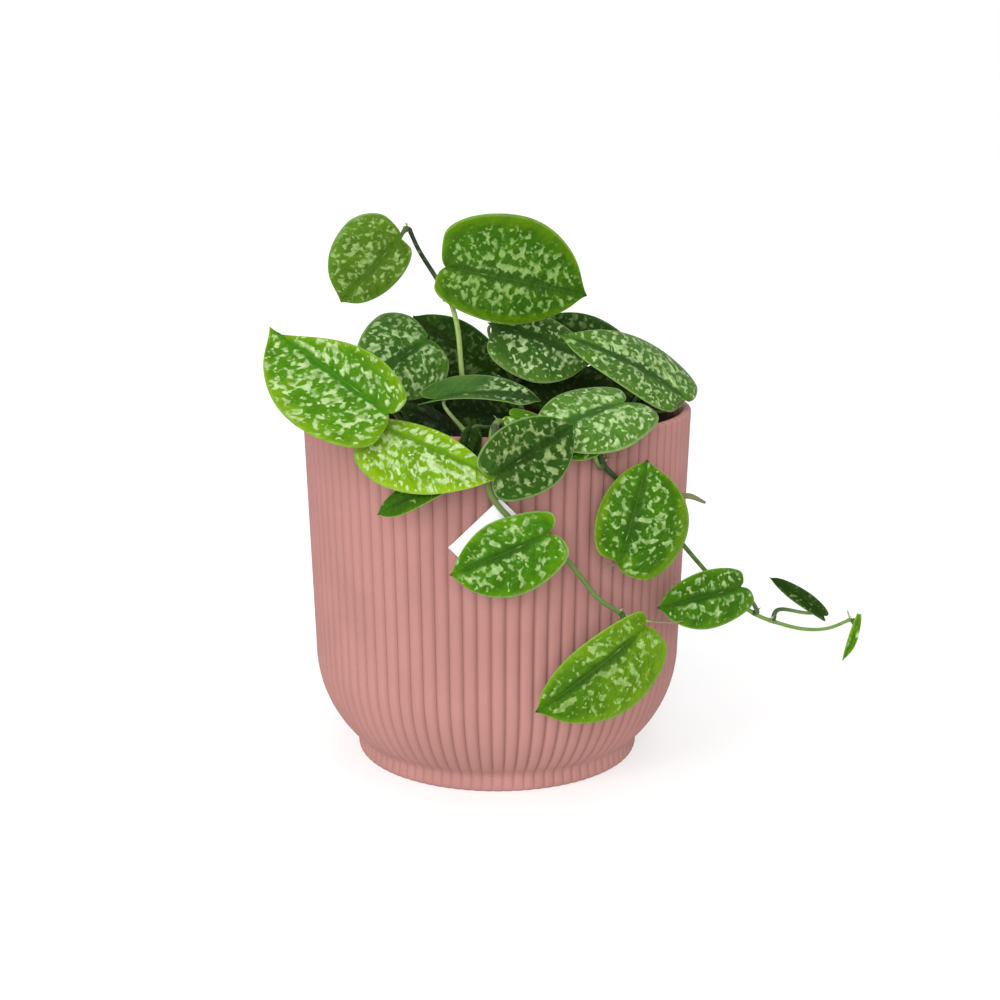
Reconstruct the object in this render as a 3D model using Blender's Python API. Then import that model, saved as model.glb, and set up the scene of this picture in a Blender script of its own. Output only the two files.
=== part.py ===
"""Satin pothos in a ribbed pot: pot, soil, plain card, stems and leaves.

Lengths are in millimetres and are turned into metres when a mesh is made.
The origin is the centre of the pot's flat underside, +Z is up, and -Y is the front.
"""
import math
import random

import bpy
import numpy as np

MM = 0.001
GAP = 0.3

# Pot
POT_HEIGHT = 128.4
RIM_RADIUS = 70.0
WALL = 3.0
WALL_TAPER = 0.0325
FLOOR = 4.0
BELLY_ARC_RADIUS = 45.0
BELLY_TOP = 40.0
BELLY_HEIGHTS = (9.0, 13.0, 19.0, 28.0, BELLY_TOP)
WAIST_RADIUS = 51.0
WAIST_HEIGHT = 5.8
FOOT_RADIUS = 52.4
FOOT_HEIGHT = 2.6
UNDERSIDE_RADIUS = 51.0
LIP_ROUND = 0.6
INSIDE_HEIGHTS = (BELLY_TOP, 24.0, 14.0)
FLOOR_ROUND = 5.0
FLOOR_INSET = 4.0
SMALL_CLEARANCE = 0.6
RIBS = 88
RIB_DEPTH = 0.9
FIRST_GROOVE = math.radians(-1.6)

# Soil
SOIL_TOP = 114.0
SOIL_BUMP = 1.3
SOIL_SEED = 4
SOIL_SIDES = 32
SOIL_TOP_SHARES = (0.84, 0.62, 0.38)
HOLE_CLEARANCE = 0.6

# Card
CARD_SIDE = 23.5
CARD_THICK = 0.7
CARD_AZIMUTH = 0.9
CARD_MIDDLE = 92.3
CARD_COLUMNS = 8

# Stems
ROOT_DEPTH = 10.0
STEM_RADII = (1.3, 1.0)
THIN_STEMS = {"stem_top": (1.1, 0.8), "stem_right": (1.2, 0.6), "stem_front": (1.3, 0.8)}
SPAN_STEPS = 2
HOLE_DEPTH_SPARE = 0.6
HOLE_TOP_SPARE = 4.0

# Leaves: the outline's turning points and the default bends are for a leaf of length 1
OUTLINE_BACK = 0.22
OUTLINE_WIDEST = 0.52
WIDEST_AT = 0.40
FULL = 0.5
LOBE = 0.14
BACK_SHARE = 0.45
BACK_HANDLE = 0.30
NOTCH_PULL = 0.6
NOTCH_RISE = 0.02
SHOULDER_HANDLE = 0.5
TIP_HANDLE = 0.09
ARCH = 0.06
FOLD = 0.12
FOLD_ROUND = 0.03
DROOP = 0.10
DROOP_WIDTH = 0.4
WAVE = 0.02
WAVE_TURNS = 2.6
SPINE_START = 0.01
SPINE_POWER = 1.25
BLADE_THICK = 0.7
BLADE_ROWS = 8
BLADE_COLUMNS = 2
PETIOLE_RADIUS = 0.8
PETIOLE_FOOT_RADIUS = 1.0
PETIOLE_STEPS = 4
PETIOLE_SINK = 0.7
PETIOLE_REACH = 2.6
PETIOLE_LARGEST_REACH = 0.1
PETIOLE_DROP = 0.6
PETIOLE_BEND = 0.35
PETIOLE_LARGEST_LEAN = 0.7
FOOT_SPARE = 0.2
WAVE_SEED = 11
TONES = {
    "bright": (0.19, 0.40, 0.01),
    "fresh": (0.06, 0.25, 0.01),
    "mid": (0.08, 0.20, 0.03),
    "dark": (0.02, 0.09, 0.02),
}

STEMS = {
    "stem_top": [(-9, 8), (-10, 5, 122), (-12.5, 0, 138), (-14, -3, 156), (-17, -3, 167),
                 (-22, -3, 175), (-27.5, -4, 184), (-31, -5, 192)],
    "stem_right": [(23, -26), (25, -34, 121), (28.5, -50, 130.5), (31, -62, 132), (33, -66, 126),
                   (34.5, -64, 119), (39.5, -61.5, 113.5), (48, -55, 105), (56, -48.5, 96),
                   (63, -43, 87.5), (70, -40, 79), (80, -37, 67.5), (90, -35, 60), (97, -33, 56.5),
                   (108, -29, 52.5), (118, -25.5, 51.5), (127.5, -22, 54)],
    "stem_front": [(4, -38), (3.5, -46, 122), (1, -61, 132), (-1, -71, 131), (-2.5, -75.5, 122),
                   (-2.5, -76, 113), (3, -76.5, 105), (12, -76.5, 98), (20.5, -76, 92),
                   (27, -74, 84), (33, -72, 76), (41, -70, 70)],
    "stem_left": [(-25, -26), (-28, -31, 121), (-36, -39, 128), (-41, -44, 131), (-44, -49, 132)],
    "stem_middle": [(-7, -32), (-8.5, -34.5, 119), (-11, -35, 125)],
    "stem_upper_left": [(-28, -2), (-31, -4, 120), (-34, -6, 128)],
    "stem_centre": [(9, 11), (9, 14, 124), (6, 18, 134)],
    "stem_upper_right": [(38, -4), (43, -5, 121), (49, -5, 127)],
    "stem_back_left": [(-34, 20), (-39, 25, 122), (-49, 33, 131.5), (-57, 41, 131.5), (-62, 45, 123),
                       (-62, 46, 111), (-61, 47, 98)],
    "stem_back": [(-4, 38), (-3, 45, 122), (-1, 59, 132), (1, 70, 131.5), (3, 76, 123),
                  (4, 76.5, 110), (6, 76.5, 96), (9, 76, 82)],
    "stem_back_right": [(34, 29), (38, 34, 122), (46, 44, 131.5), (53, 52, 131.5), (56, 56, 123),
                        (56, 57, 110), (54, 58, 97)],
}

# A bare young shoot that grows from the side of a stem
SHOOTS = {"stem_right": [(49, -55.5, 104), (58, -58, 107), (64, -56, 106.5), (69.5, -52, 103.5)]}
SHOOT_RADIUS = 0.9

# Each leaf: base of the blade, tip, the way its upper face looks, its half-widths left and right
# of the midrib as a share of its length, its stem, and the stem point that carries it.
# widest, full and lobe say where a half is widest, how full it is near the tip and how far its
# lobe reaches back.
LEAVES = [
    dict(name="leaf_top_big", base=(-18, -9, 178.5), tip=(32, -5, 168), face=(0.05, -1, 0.15),
         left=0.45, right=0.31, stem="stem_top", node=4, lobe=0.05, widest_left=0.45,
         full_right=0.3, tone="fresh"),
    dict(name="leaf_top_small", base=(-33.5, -9, 188.5), tip=(-54.5, -13, 166.5), face=(-0.1, -1, 0.1),
         left=0.31, right=0.58, stem="stem_top", node=7, lobe_left=0.0, lobe_right=0.07,
         widest_right=0.3, full_left=0.6, full_right=0.7, tone="mid"),
    dict(name="leaf_left_bright", base=(-34.5, -70, 136.5), tip=(-73, -59, 163),
         face=(-0.2, -0.95, 0.4), left=0.43, right=0.26, stem="stem_left", node=4, lobe=0.05,
         widest_left=0.45, widest_right=0.25, full_left=0.6, full_right=-0.3, arch=0.03, droop=0.03,
         leave=(-0.8, 0.5, -0.3), rise=(-0.1, -1, 0.2), tone="bright"),
    dict(name="leaf_left_low", base=(-38.5, -61, 131), tip=(1, -85, 118), face=(0, -0.7, 0.7),
         left=0.12, right=0.40, stem="stem_left", node=3, lobe=0.05, widest_right=0.3,
         full_left=0.4, full_right=0.35, arch=0.03, tone="bright"),
    dict(name="leaf_left_under", base=(-19, -80, 115), tip=(-38, -77, 105), face=(0, -0.8, 0.6),
         left=0.22, right=0.22, stem="stem_front", node=4, tone="fresh"),
    dict(name="leaf_upper_left", base=(-25, -6, 152.5), tip=(-47.5, -18, 137),
         face=(-0.1, -0.9, 0.3), left=0.56, right=0.62, stem="stem_upper_left", node=2, lobe=0.08,
         widest_left=0.3, widest_right=0.22, tone="mid"),
    dict(name="leaf_behind_dark", base=(-2, 24, 137), tip=(-31.5, 26, 158), face=(0, -1, 0.2),
         left=0.46, right=0.27, stem="stem_centre", node=2, lobe=0.24, full_right=0.3,
         tone="dark"),
    dict(name="leaf_middle_flat", base=(-20, -28, 135), tip=(15.5, -32, 134.5),
         face=(0, -0.45, 0.9), left=0.32, right=0.13, stem="stem_middle", node=2, lobe=0.2,
         widest_left=0.12, widest_right=0.7, full_left=0.35, arch=0.07, droop=0, wave=0.03,
         tone="mid"),
    dict(name="leaf_right_dark", base=(-3.5, 12, 156.8), tip=(35, 4, 143), face=(0, -0.8, 0.6),
         left=0.25, right=0.40, stem="stem_centre", node=2, lobe=-0.08, widest_right=0.55,
         tone="mid"),
    dict(name="leaf_right_upper", base=(68, -13, 131.5), tip=(21.5, -18, 156),
         face=(0.2, -0.6, 0.8), left=0.26, right=0.35, stem="stem_upper_right", node=2, lobe_left=-0.08,
         lobe_right=0.05, widest_right=0.3, full_left=0.4, full_right=0.0, tone="mid"),
    dict(name="leaf_back_upper", base=(43, 26, 147.5), tip=(11, 28, 155), face=(0.2, -0.8, 0.5),
         left=0.30, right=0.27, stem="stem_back_right", node=1, widest_right=0.25,
         full_right=0.2, tone="dark"),
    dict(name="leaf_right_front", base=(41, -58, 138), tip=(11, -73, 127.5), face=(0, -0.65, 0.75),
         left=0.46, right=0.34, stem="stem_right", node=2, lobe_left=0.26, lobe_right=0.1,
         widest_left=0.25, full_left=0.35, tone="mid"),
    dict(name="leaf_front_dark", base=(0.5, -91, 121), tip=(23.8, -83, 135),
         face=(0.1, -1, 0.2), left=0.40, right=0.44, stem="stem_front", node=3, rise=(0, -1, 0.2),
         widest_left=0.32, tone="dark"),
    dict(name="leaf_inner_bright", base=(5, -42, 131), tip=(17, -47, 124.5), face=(0, -0.6, 0.8),
         left=0.42, right=0.42, stem="stem_front", node=1, tone="bright"),
    dict(name="leaf_pot_front", base=(15.5, -84, 100), tip=(-15, -80, 86), face=(0, -1, 0.1),
         left=0.44, right=0.31, stem="stem_front", node=8, full_right=0.2, tone="fresh"),
    dict(name="leaf_right_under", base=(31, -69, 124.5), tip=(20.5, -72.5, 123), face=(0, -0.5, 0.9),
         left=0.36, right=0.36, stem="stem_right", node=5, tone="fresh"),
    dict(name="leaf_right_hang", base=(39.5, -71, 87), tip=(48.5, -67, 121), face=(0.1, -1, 0.1),
         left=0.32, right=0.57, stem="stem_right", node=8, lobe_left=-0.04, lobe_right=0.09,
         tone="fresh"),
    dict(name="leaf_right_side", base=(84, -42, 71.5), tip=(54, -56, 68), face=(0, -1, 0.2),
         left=0.34, right=0.26, stem="stem_right", node=12, lobe_right=0.07, tone="fresh"),
    dict(name="leaf_front_low", base=(48.5, -74, 67), tip=(12.5, -82, 40.5), face=(0.2, -1, 0.1),
         left=0.41, right=0.20, stem="stem_front", node=11, lobe=0.05, tone="fresh"),
    dict(name="leaf_side_small", base=(116.5, -26, 56.5), tip=(97, -24, 70), face=(0.4, -0.8, 0.5),
         left=0.14, right=0.14, stem="stem_right", node=13, lobe=0.06, leave=(-0.8, 0, -0.3), rise=(0, 0, 1),
         tone="dark"),
    dict(name="leaf_side_young", base=(130, -22, 55.5), tip=(124.5, -24, 39), face=(0.5, -0.85, 0.1),
         left=0.12, right=0.12, stem="stem_right", node=16, lobe=0.03, tone="bright"),
    dict(name="leaf_inner_left", base=(-17, -20, 122), tip=(-33.5, -26, 131), face=(0, -0.5, 0.8),
         left=0.40, right=0.40, stem="stem_middle", node=1, tone="dark"),
    dict(name="leaf_inner_middle", base=(5, -8, 124), tip=(-18, -12, 128), face=(0, -0.8, 0.55),
         left=0.45, right=0.45, stem="stem_centre", node=1, tone="dark"),
    dict(name="leaf_left_inner", base=(-40, 1, 133), tip=(-64, -14, 135), face=(0, -0.3, 1),
         left=0.38, right=0.38, stem="stem_upper_left", node=1, tone="mid"),
    dict(name="leaf_back_left_rim", base=(-46, 22, 136), tip=(-70, 2, 141), face=(-0.2, 0.2, 1),
         left=0.38, right=0.38, stem="stem_back_left", node=2, tone="mid"),
    dict(name="leaf_back_left_hang", base=(-63, 49, 121), tip=(-63, 52, 78), face=(-0.75, 0.66, 0.1),
         left=0.34, right=0.34, stem="stem_back_left", node=4, tone="fresh"),
    dict(name="leaf_back_left_mid", base=(-44, 67, 112), tip=(-28, 79, 82), face=(-0.5, 0.85, 0.2),
         left=0.34, right=0.38, stem="stem_back_left", node=5, tone="fresh"),
    dict(name="leaf_back_left_low", base=(-58, 53, 92), tip=(-46, 62, 54), face=(-0.6, 0.8, 0.1),
         left=0.36, right=0.36, stem="stem_back_left", node=6, tone="fresh"),
    dict(name="leaf_back_rim_left", base=(-14, 48, 132), tip=(-42, 36, 138), face=(0, 0.3, 1),
         left=0.36, right=0.36, stem="stem_back", node=1, tone="mid"),
    dict(name="leaf_back_rim_right", base=(8, 66, 137), tip=(35, 50, 143), face=(0, 0.5, 1),
         left=0.40, right=0.36, stem="stem_back", node=3, tone="mid"),
    dict(name="leaf_back_hang_left", base=(-7, 81, 121), tip=(-30, 84, 87), face=(-0.1, 1, 0.15),
         left=0.34, right=0.40, stem="stem_back", node=4, tone="fresh"),
    dict(name="leaf_back_hang_right", base=(13, 83, 107), tip=(22, 84.5, 71), face=(0.2, 1, 0.15),
         left=0.38, right=0.32, stem="stem_back", node=5, tone="fresh"),
    dict(name="leaf_back_hang_low", base=(10, 80, 78), tip=(-4, 80, 40), face=(0, 1, 0.1),
         left=0.38, right=0.38, stem="stem_back", node=7, tone="fresh"),
    dict(name="leaf_back_right_rim", base=(58, 46, 137), tip=(64, 18, 139), face=(0.3, 0, 1),
         left=0.40, right=0.36, stem="stem_back_right", node=3, tone="mid"),
    dict(name="leaf_back_right_hang", base=(61, 55, 120), tip=(66, 48, 80), face=(0.75, 0.66, 0.1),
         left=0.32, right=0.32, stem="stem_back_right", node=4, tone="fresh"),
    dict(name="leaf_back_right_mid", base=(42, 69, 119), tip=(31, 78, 87), face=(0.5, 0.85, 0.1),
         left=0.28, right=0.38, stem="stem_back_right", node=5, tone="fresh"),
    dict(name="leaf_back_right_low", base=(52.5, 62.5, 90.5), tip=(44, 63, 50), face=(0.65, 0.75, 0),
         left=0.36, right=0.36, stem="stem_back_right", node=6, tone="fresh"),
    dict(name="leaf_centre_back", base=(12, 24, 138), tip=(38, 26, 130), face=(0, -0.85, 0.5),
         left=0.42, right=0.52, stem="stem_centre", node=2, lobe=0.22, tone="dark"),
    dict(name="leaf_centre_back_left", base=(-3, 36, 138), tip=(-20, 60, 146), face=(0, -0.2, 1),
         left=0.36, right=0.36, stem="stem_centre", node=1, tone="mid"),
    dict(name="leaf_right_inner", base=(53, 8, 134), tip=(27, 14, 132), face=(0, -0.85, 0.5),
         left=0.48, right=0.42, stem="stem_upper_right", node=2, leave=(0.75, -0.65, -0.1), tone="dark"),
    dict(name="leaf_inner_right", base=(31, -27, 126), tip=(50, -20, 127), face=(0, -0.3, 1),
         left=0.38, right=0.38, stem="stem_right", node=1, tone="dark"),
    dict(name="leaf_inner_back", base=(4, 38, 127), tip=(18, 24, 128), face=(0.1, -0.2, 1),
         left=0.38, right=0.38, stem="stem_back", node=1, tone="dark"),
    dict(name="leaf_inner_back_left", base=(-38, 15, 130.5), tip=(-15, 9, 128), face=(0, -0.85, 0.5),
         left=0.42, right=0.42, stem="stem_back_left", node=1, tone="dark"),
    dict(name="leaf_rim_dark", base=(-7.8, -72.2, 132), tip=(-11, -72.8, 119), face=(0, -1, 0.1),
         left=0.31, right=0.22, stem="stem_front", node=2, lobe=0.05, tone="dark"),
]


def vec(*numbers):
    return np.array(numbers, dtype=float)


def unit(vector):
    return vector / np.linalg.norm(vector)


def smooth_route(points):
    """Points on a Catmull-Rom curve through the route's own points."""
    ends = [2 * points[0] - points[1]] + list(points) + [2 * points[-1] - points[-2]]
    route = []
    for before, start, stop, after in zip(ends, ends[1:], ends[2:], ends[3:]):
        for step in range(SPAN_STEPS):
            t = step / SPAN_STEPS
            route.append(0.5 * (2 * start + (stop - before) * t
                                + (2 * before - 5 * start + 4 * stop - after) * t ** 2
                                + (3 * start - before - 3 * stop + after) * t ** 3))
    return route + [points[-1]]


def bezier(start, start_handle, end_handle, end, t):
    return ((1 - t) ** 3 * start + 3 * (1 - t) ** 2 * t * start_handle
            + 3 * (1 - t) * t ** 2 * end_handle + t ** 3 * end)


def clear_scene():
    for thing in list(bpy.data.objects):
        bpy.data.objects.remove(thing, do_unlink=True)


def material(name, colour, roughness):
    found = bpy.data.materials.get(name) or bpy.data.materials.new(name)
    found.use_nodes = True
    shader = found.node_tree.nodes["Principled BSDF"]
    shader.inputs["Base Color"].default_value = (*colour, 1.0)
    shader.inputs["Roughness"].default_value = roughness
    shader.inputs["Metallic"].default_value = 0.0
    return found


def add_object(name, mesh):
    thing = bpy.data.objects.new(name, mesh)
    bpy.context.scene.collection.objects.link(thing)
    return thing


def mesh_object(name, points, faces, smooth_angle=40.0):
    mesh = bpy.data.meshes.new(name)
    mesh.from_pydata([tuple(np.asarray(p) * MM) for p in points], [], faces)
    mesh.shade_smooth()
    mesh.set_sharp_from_angle(angle=math.radians(smooth_angle))
    return add_object(name, mesh)


def tube(name, points, radii, sides_resolution=1):
    """A round tube with filled ends along the points."""
    curve = bpy.data.curves.new(name, "CURVE")
    curve.dimensions = "3D"
    curve.bevel_depth = MM
    curve.bevel_resolution = sides_resolution
    curve.use_fill_caps = True
    spline = curve.splines.new("POLY")
    spline.points.add(len(points) - 1)
    for spot, point, radius in zip(spline.points, points, radii):
        spot.co = (*(np.asarray(point) * MM), 1.0)
        spot.radius = radius
    thing = add_object(name, curve)
    evaluated = thing.evaluated_get(bpy.context.evaluated_depsgraph_get())
    mesh = bpy.data.meshes.new_from_object(evaluated)
    bpy.data.objects.remove(thing, do_unlink=True)
    mesh.shade_smooth()
    return add_object(name, mesh)


def apply_modifiers(thing):
    """Replace an object's mesh by the one its modifiers make."""
    bpy.context.view_layer.update()
    evaluated = thing.evaluated_get(bpy.context.evaluated_depsgraph_get())
    mesh = bpy.data.meshes.new_from_object(evaluated)
    thing.modifiers.clear()
    thing.data = mesh


def boolean(thing, others, operation):
    """Cut or join others into thing, then remove them."""
    collection = bpy.data.collections.new(thing.name + "_tools")
    for other in others:
        collection.objects.link(other)
    modifier = thing.modifiers.new(operation.lower(), "BOOLEAN")
    modifier.operation = operation
    modifier.operand_type = "COLLECTION"
    modifier.collection = collection
    modifier.solver = "EXACT"
    modifier.use_self = True
    apply_modifiers(thing)
    for other in others:
        bpy.data.objects.remove(other, do_unlink=True)
    bpy.data.collections.remove(collection)


def belly_radius(height):
    """Outer radius of the pot between its foot and its rim, over the crests of the ribs."""
    wall = RIM_RADIUS - (POT_HEIGHT - max(height, BELLY_TOP)) * WALL_TAPER
    drop = max(BELLY_TOP - height, 0.0)
    return wall - BELLY_ARC_RADIUS + math.sqrt(BELLY_ARC_RADIUS ** 2 - drop ** 2)


def ribbed_ring(radius, height, depth=RIB_DEPTH):
    """A ring with a point in each groove and one on each crest."""
    ring = []
    for step in range(2 * RIBS):
        angle = FIRST_GROOVE + math.pi * step / RIBS
        reach = radius - depth if step % 2 == 0 else radius
        ring.append((reach * math.sin(angle), -reach * math.cos(angle), height))
    return ring


def plain_ring(radius, height):
    """A smooth ring with one point for each rib."""
    ring = []
    for step in range(RIBS):
        angle = FIRST_GROOVE + 2 * math.pi * step / RIBS
        ring.append((radius * math.sin(angle), -radius * math.cos(angle), height))
    return ring


def stitch(below, above):
    """Faces between two closed rings of point numbers, of equal or doubled count."""
    faces = []
    count = len(above)
    ratio = len(below) / count
    for step in range(count):
        turn = (step + 1) % count
        if ratio == 1:
            faces.append((below[step], below[turn], above[turn], above[step]))
        else:
            first, middle, last = below[2 * step], below[2 * step + 1], below[2 * turn]
            faces.append((first, middle, above[step]))
            faces.append((middle, above[turn], above[step]))
            faces.append((middle, last, above[turn]))
    return faces


def make_pot():
    """Ribbed outside, plain inside, flat underside and flat lip."""
    outside = [(0.0, UNDERSIDE_RADIUS), (FOOT_HEIGHT, FOOT_RADIUS), (WAIST_HEIGHT, WAIST_RADIUS)]
    for height in BELLY_HEIGHTS + (POT_HEIGHT - LIP_ROUND,):
        outside.append((height, belly_radius(height)))
    inside = [(POT_HEIGHT, RIM_RADIUS - WALL)]
    for height in INSIDE_HEIGHTS + (FLOOR + FLOOR_ROUND,):
        inside.append((height, belly_radius(height) - WALL))
    inside.append((FLOOR, belly_radius(FLOOR + FLOOR_ROUND) - WALL - FLOOR_INSET))
    rings = [ribbed_ring(radius, height) for height, radius in outside]
    rings.append(ribbed_ring(RIM_RADIUS - LIP_ROUND, POT_HEIGHT, RIB_DEPTH / 2))
    rings += [plain_ring(radius, height) for height, radius in inside]
    points = []
    numbers = []
    for ring in rings:
        numbers.append(list(range(len(points), len(points) + len(ring))))
        points += ring
    faces = []
    for below, above in zip(numbers, numbers[1:]):
        faces += stitch(below, above)
    faces.append(tuple(reversed(numbers[0])))
    faces.append(tuple(numbers[-1]))
    pot = mesh_object("pot", points, faces, 60.0)
    pot.data.materials.append(material("pot_pink", (0.60, 0.29, 0.25), 0.6))
    return pot


def make_soil():
    """Soil filling the pot to under its lip, with a hole for every stem."""
    rng = random.Random(SOIL_SEED)
    heights = (FLOOR + FLOOR_ROUND,) + tuple(reversed(INSIDE_HEIGHTS)) + (SOIL_TOP,)
    rings = [(height, belly_radius(height) - WALL - SMALL_CLEARANCE) for height in heights]
    rings.insert(0, (FLOOR + GAP, rings[0][1] - FLOOR_INSET))
    flat_rings = len(rings)
    rings += [(SOIL_TOP, share * belly_radius(SOIL_TOP)) for share in SOIL_TOP_SHARES]
    points = []
    for index, (height, radius) in enumerate(rings):
        for step in range(SOIL_SIDES):
            angle = 2 * math.pi * step / SOIL_SIDES
            bump = rng.uniform(-SOIL_BUMP, SOIL_BUMP) if index >= flat_rings else 0.0
            points.append((radius * math.sin(angle), -radius * math.cos(angle), height + bump))
    faces = []
    for index in range(len(rings) - 1):
        below = [index * SOIL_SIDES + step for step in range(SOIL_SIDES)]
        above = [number + SOIL_SIDES for number in below]
        faces += stitch(below, above)
    faces.append(tuple(reversed(range(SOIL_SIDES))))
    points.append((0.0, 0.0, SOIL_TOP + SOIL_BUMP))
    top = [(len(rings) - 1) * SOIL_SIDES + step for step in range(SOIL_SIDES)]
    for step in range(SOIL_SIDES):
        faces.append((top[step], top[(step + 1) % SOIL_SIDES], len(points) - 1))
    soil = mesh_object("soil", points, faces, 180.0)
    boolean(soil, [stem_hole(name) for name in STEMS], "DIFFERENCE")
    soil.data.materials.append(material("soil", (0.03, 0.02, 0.015), 0.95))
    return soil


def stem_points(name):
    """A stem's route, whose first point is its buried end."""
    route = [vec(*point) for point in STEMS[name][1:]]
    surface = vec(*STEMS[name][0], SOIL_TOP)
    buried = surface - ROOT_DEPTH * unit(route[0] - surface)
    return [buried, surface] + route


def stem_hole(name):
    """The cutter for the hole that a stem stands in."""
    points = stem_points(name)
    along = unit(points[1] - points[0])
    start = points[0] - along * HOLE_DEPTH_SPARE
    stop = points[1] + along * HOLE_TOP_SPARE
    cutter = tube(name + "_hole", [start, stop], [stem_radius(name, 0) + HOLE_CLEARANCE] * 2, 2)
    cutter.hide_render = True
    cutter.display_type = "WIRE"
    return cutter


def stem_radius(name, share):
    """The stem's radius at a share of its length, from its buried end to its tip."""
    root, tip = THIN_STEMS.get(name, STEM_RADII)
    return root + (tip - root) * share


def make_stem(name):
    route = smooth_route(stem_points(name))
    last = len(route) - 1
    stem = tube(name, route, [stem_radius(name, step / last) for step in range(last + 1)])
    if name in SHOOTS:
        shoot = smooth_route([vec(*point) for point in SHOOTS[name]])
        boolean(stem, [tube(name + "_shoot", shoot, [SHOOT_RADIUS] * len(shoot))], "UNION")
    stem.data.materials.append(material("stem_green", (0.12, 0.22, 0.04), 0.5))
    return stem


def make_card():
    """A blank square card, set on its corner, that hugs the crests of the ribs."""
    half = CARD_SIDE / math.sqrt(2)
    points = []
    faces = []
    for face in (0, 1):
        for step in range(CARD_COLUMNS + 1):
            across = half * (2 * step / CARD_COLUMNS - 1)
            reach = max(half - abs(across), 0.01)
            for side in (-1, 1):
                height = CARD_MIDDLE + side * reach
                radius = RIM_RADIUS + GAP + face * CARD_THICK
                angle = math.radians(CARD_AZIMUTH) + across / RIM_RADIUS
                points.append((radius * math.sin(angle), -radius * math.cos(angle), height))
    row = 2 * (CARD_COLUMNS + 1)
    for step in range(CARD_COLUMNS):
        low, high = 2 * step, 2 * step + 1
        faces.append((low, high, high + 2, low + 2))
        faces.append((row + low, row + low + 2, row + high + 2, row + high))
        faces.append((low, low + 2, row + low + 2, row + low))
        faces.append((high, row + high, row + high + 2, high + 2))
    faces.append((0, row, row + 1, 1))
    faces.append((row - 2, row - 1, 2 * row - 1, 2 * row - 2))
    card = mesh_object("card_blank", points, faces, 30.0)
    card.data.materials.append(material("card_white", (0.85, 0.86, 0.88), 0.5))
    return card


def margin(t, leaf, half):
    """A point on the leaf's left or right outline: 0 is the notch, 1 the tip, for length 1."""
    width = leaf[half]
    lobe = leaf.get("lobe_" + half, leaf.get("lobe", LOBE))
    widest_at = leaf.get("widest_" + half, WIDEST_AT)
    full = leaf.get("full_" + half, FULL)
    notch = vec(0, 0)
    back = vec(-lobe, BACK_SHARE * width)
    widest = vec(widest_at, width)
    tip = vec(1, 0)
    turn = vec(0, BACK_HANDLE * width)
    if t < OUTLINE_BACK:
        return bezier(notch, vec(-NOTCH_PULL * lobe, NOTCH_RISE), back - turn, back,
                      t / OUTLINE_BACK)
    if t < OUTLINE_WIDEST:
        return bezier(back, back + turn, widest - vec(SHOULDER_HANDLE * widest_at, 0), widest,
                      (t - OUTLINE_BACK) / (OUTLINE_WIDEST - OUTLINE_BACK))
    return bezier(widest, widest + vec(SHOULDER_HANDLE * (1 - widest_at), 0),
                  tip + vec(-TIP_HANDLE, full * width), tip,
                  (t - OUTLINE_WIDEST) / (1 - OUTLINE_WIDEST))


def leaf_frame(leaf):
    base = vec(*leaf["base"])
    tip = vec(*leaf["tip"])
    length = np.linalg.norm(tip - base)
    along = unit(tip - base)
    face = vec(*leaf["face"])
    up = unit(face - np.dot(face, along) * along)
    return base, length, along, np.cross(up, along), up


def blade_points(leaf, rows, columns):
    """The blade's surface as rows of points from notch to tip, each from right to left."""
    base, length, along, across, up = leaf_frame(leaf)
    arch = leaf.get("arch", ARCH)
    droop = leaf.get("droop", DROOP)
    wave = leaf.get("wave", WAVE)
    rng = random.Random(leaf["name"] + str(WAVE_SEED))
    phase = {side: rng.uniform(0, 2 * math.pi) for side in (-1, 1)}
    grid = []
    for row in range(rows + 1):
        t = row / rows
        spine = SPINE_START + (1 - SPINE_START) * t ** SPINE_POWER if row else 0.0
        line = []
        for column in range(-columns, columns + 1):
            side = 1 if column > 0 else -1
            share = abs(column) / columns
            edge = margin(t, leaf, "left" if side > 0 else "right")
            x = spine + (edge[0] - spine) * share
            y = edge[1] * share
            z = arch * 4 * x * (1 - x) + FOLD * (math.hypot(y, FOLD_ROUND) - FOLD_ROUND)
            z -= droop * (y / DROOP_WIDTH) ** 2
            ripple = math.sin(WAVE_TURNS * math.pi * t + phase[side])
            z += wave * ripple * share ** 2 * math.sin(math.pi * t)
            line.append(base + length * (x * along + side * y * across + z * up))
        grid.append(line)
    return grid


def blade_faces(rows, columns):
    """Triangles over the rows, with one point for the notch and one for the tip."""
    wide = 2 * columns + 1
    faces = [(0, 1 + step, 2 + step) for step in range(wide - 1)]
    for row in range(rows - 2):
        for step in range(wide - 1):
            near = 1 + row * wide + step
            far = near + wide
            if step < columns:
                faces += [(near, far, near + 1), (near + 1, far, far + 1)]
            else:
                faces += [(near, far, far + 1), (near, far + 1, near + 1)]
    last = 1 + (rows - 2) * wide
    tip = 1 + (rows - 1) * wide
    faces += [(last + step, tip, last + step + 1) for step in range(wide - 1)]
    return [tuple(reversed(face)) for face in faces]


def make_blade(leaf):
    grid = blade_points(leaf, BLADE_ROWS, BLADE_COLUMNS)
    points = [grid[0][BLADE_COLUMNS]]
    for line in grid[1:-1]:
        points += line
    points.append(grid[-1][BLADE_COLUMNS])
    blade = mesh_object(leaf["name"], points, blade_faces(BLADE_ROWS, BLADE_COLUMNS), 60.0)
    solid = blade.modifiers.new("thickness", "SOLIDIFY")
    solid.thickness = BLADE_THICK * MM
    solid.offset = 0.0
    solid.use_even_offset = False
    apply_modifiers(blade)
    return blade


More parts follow.
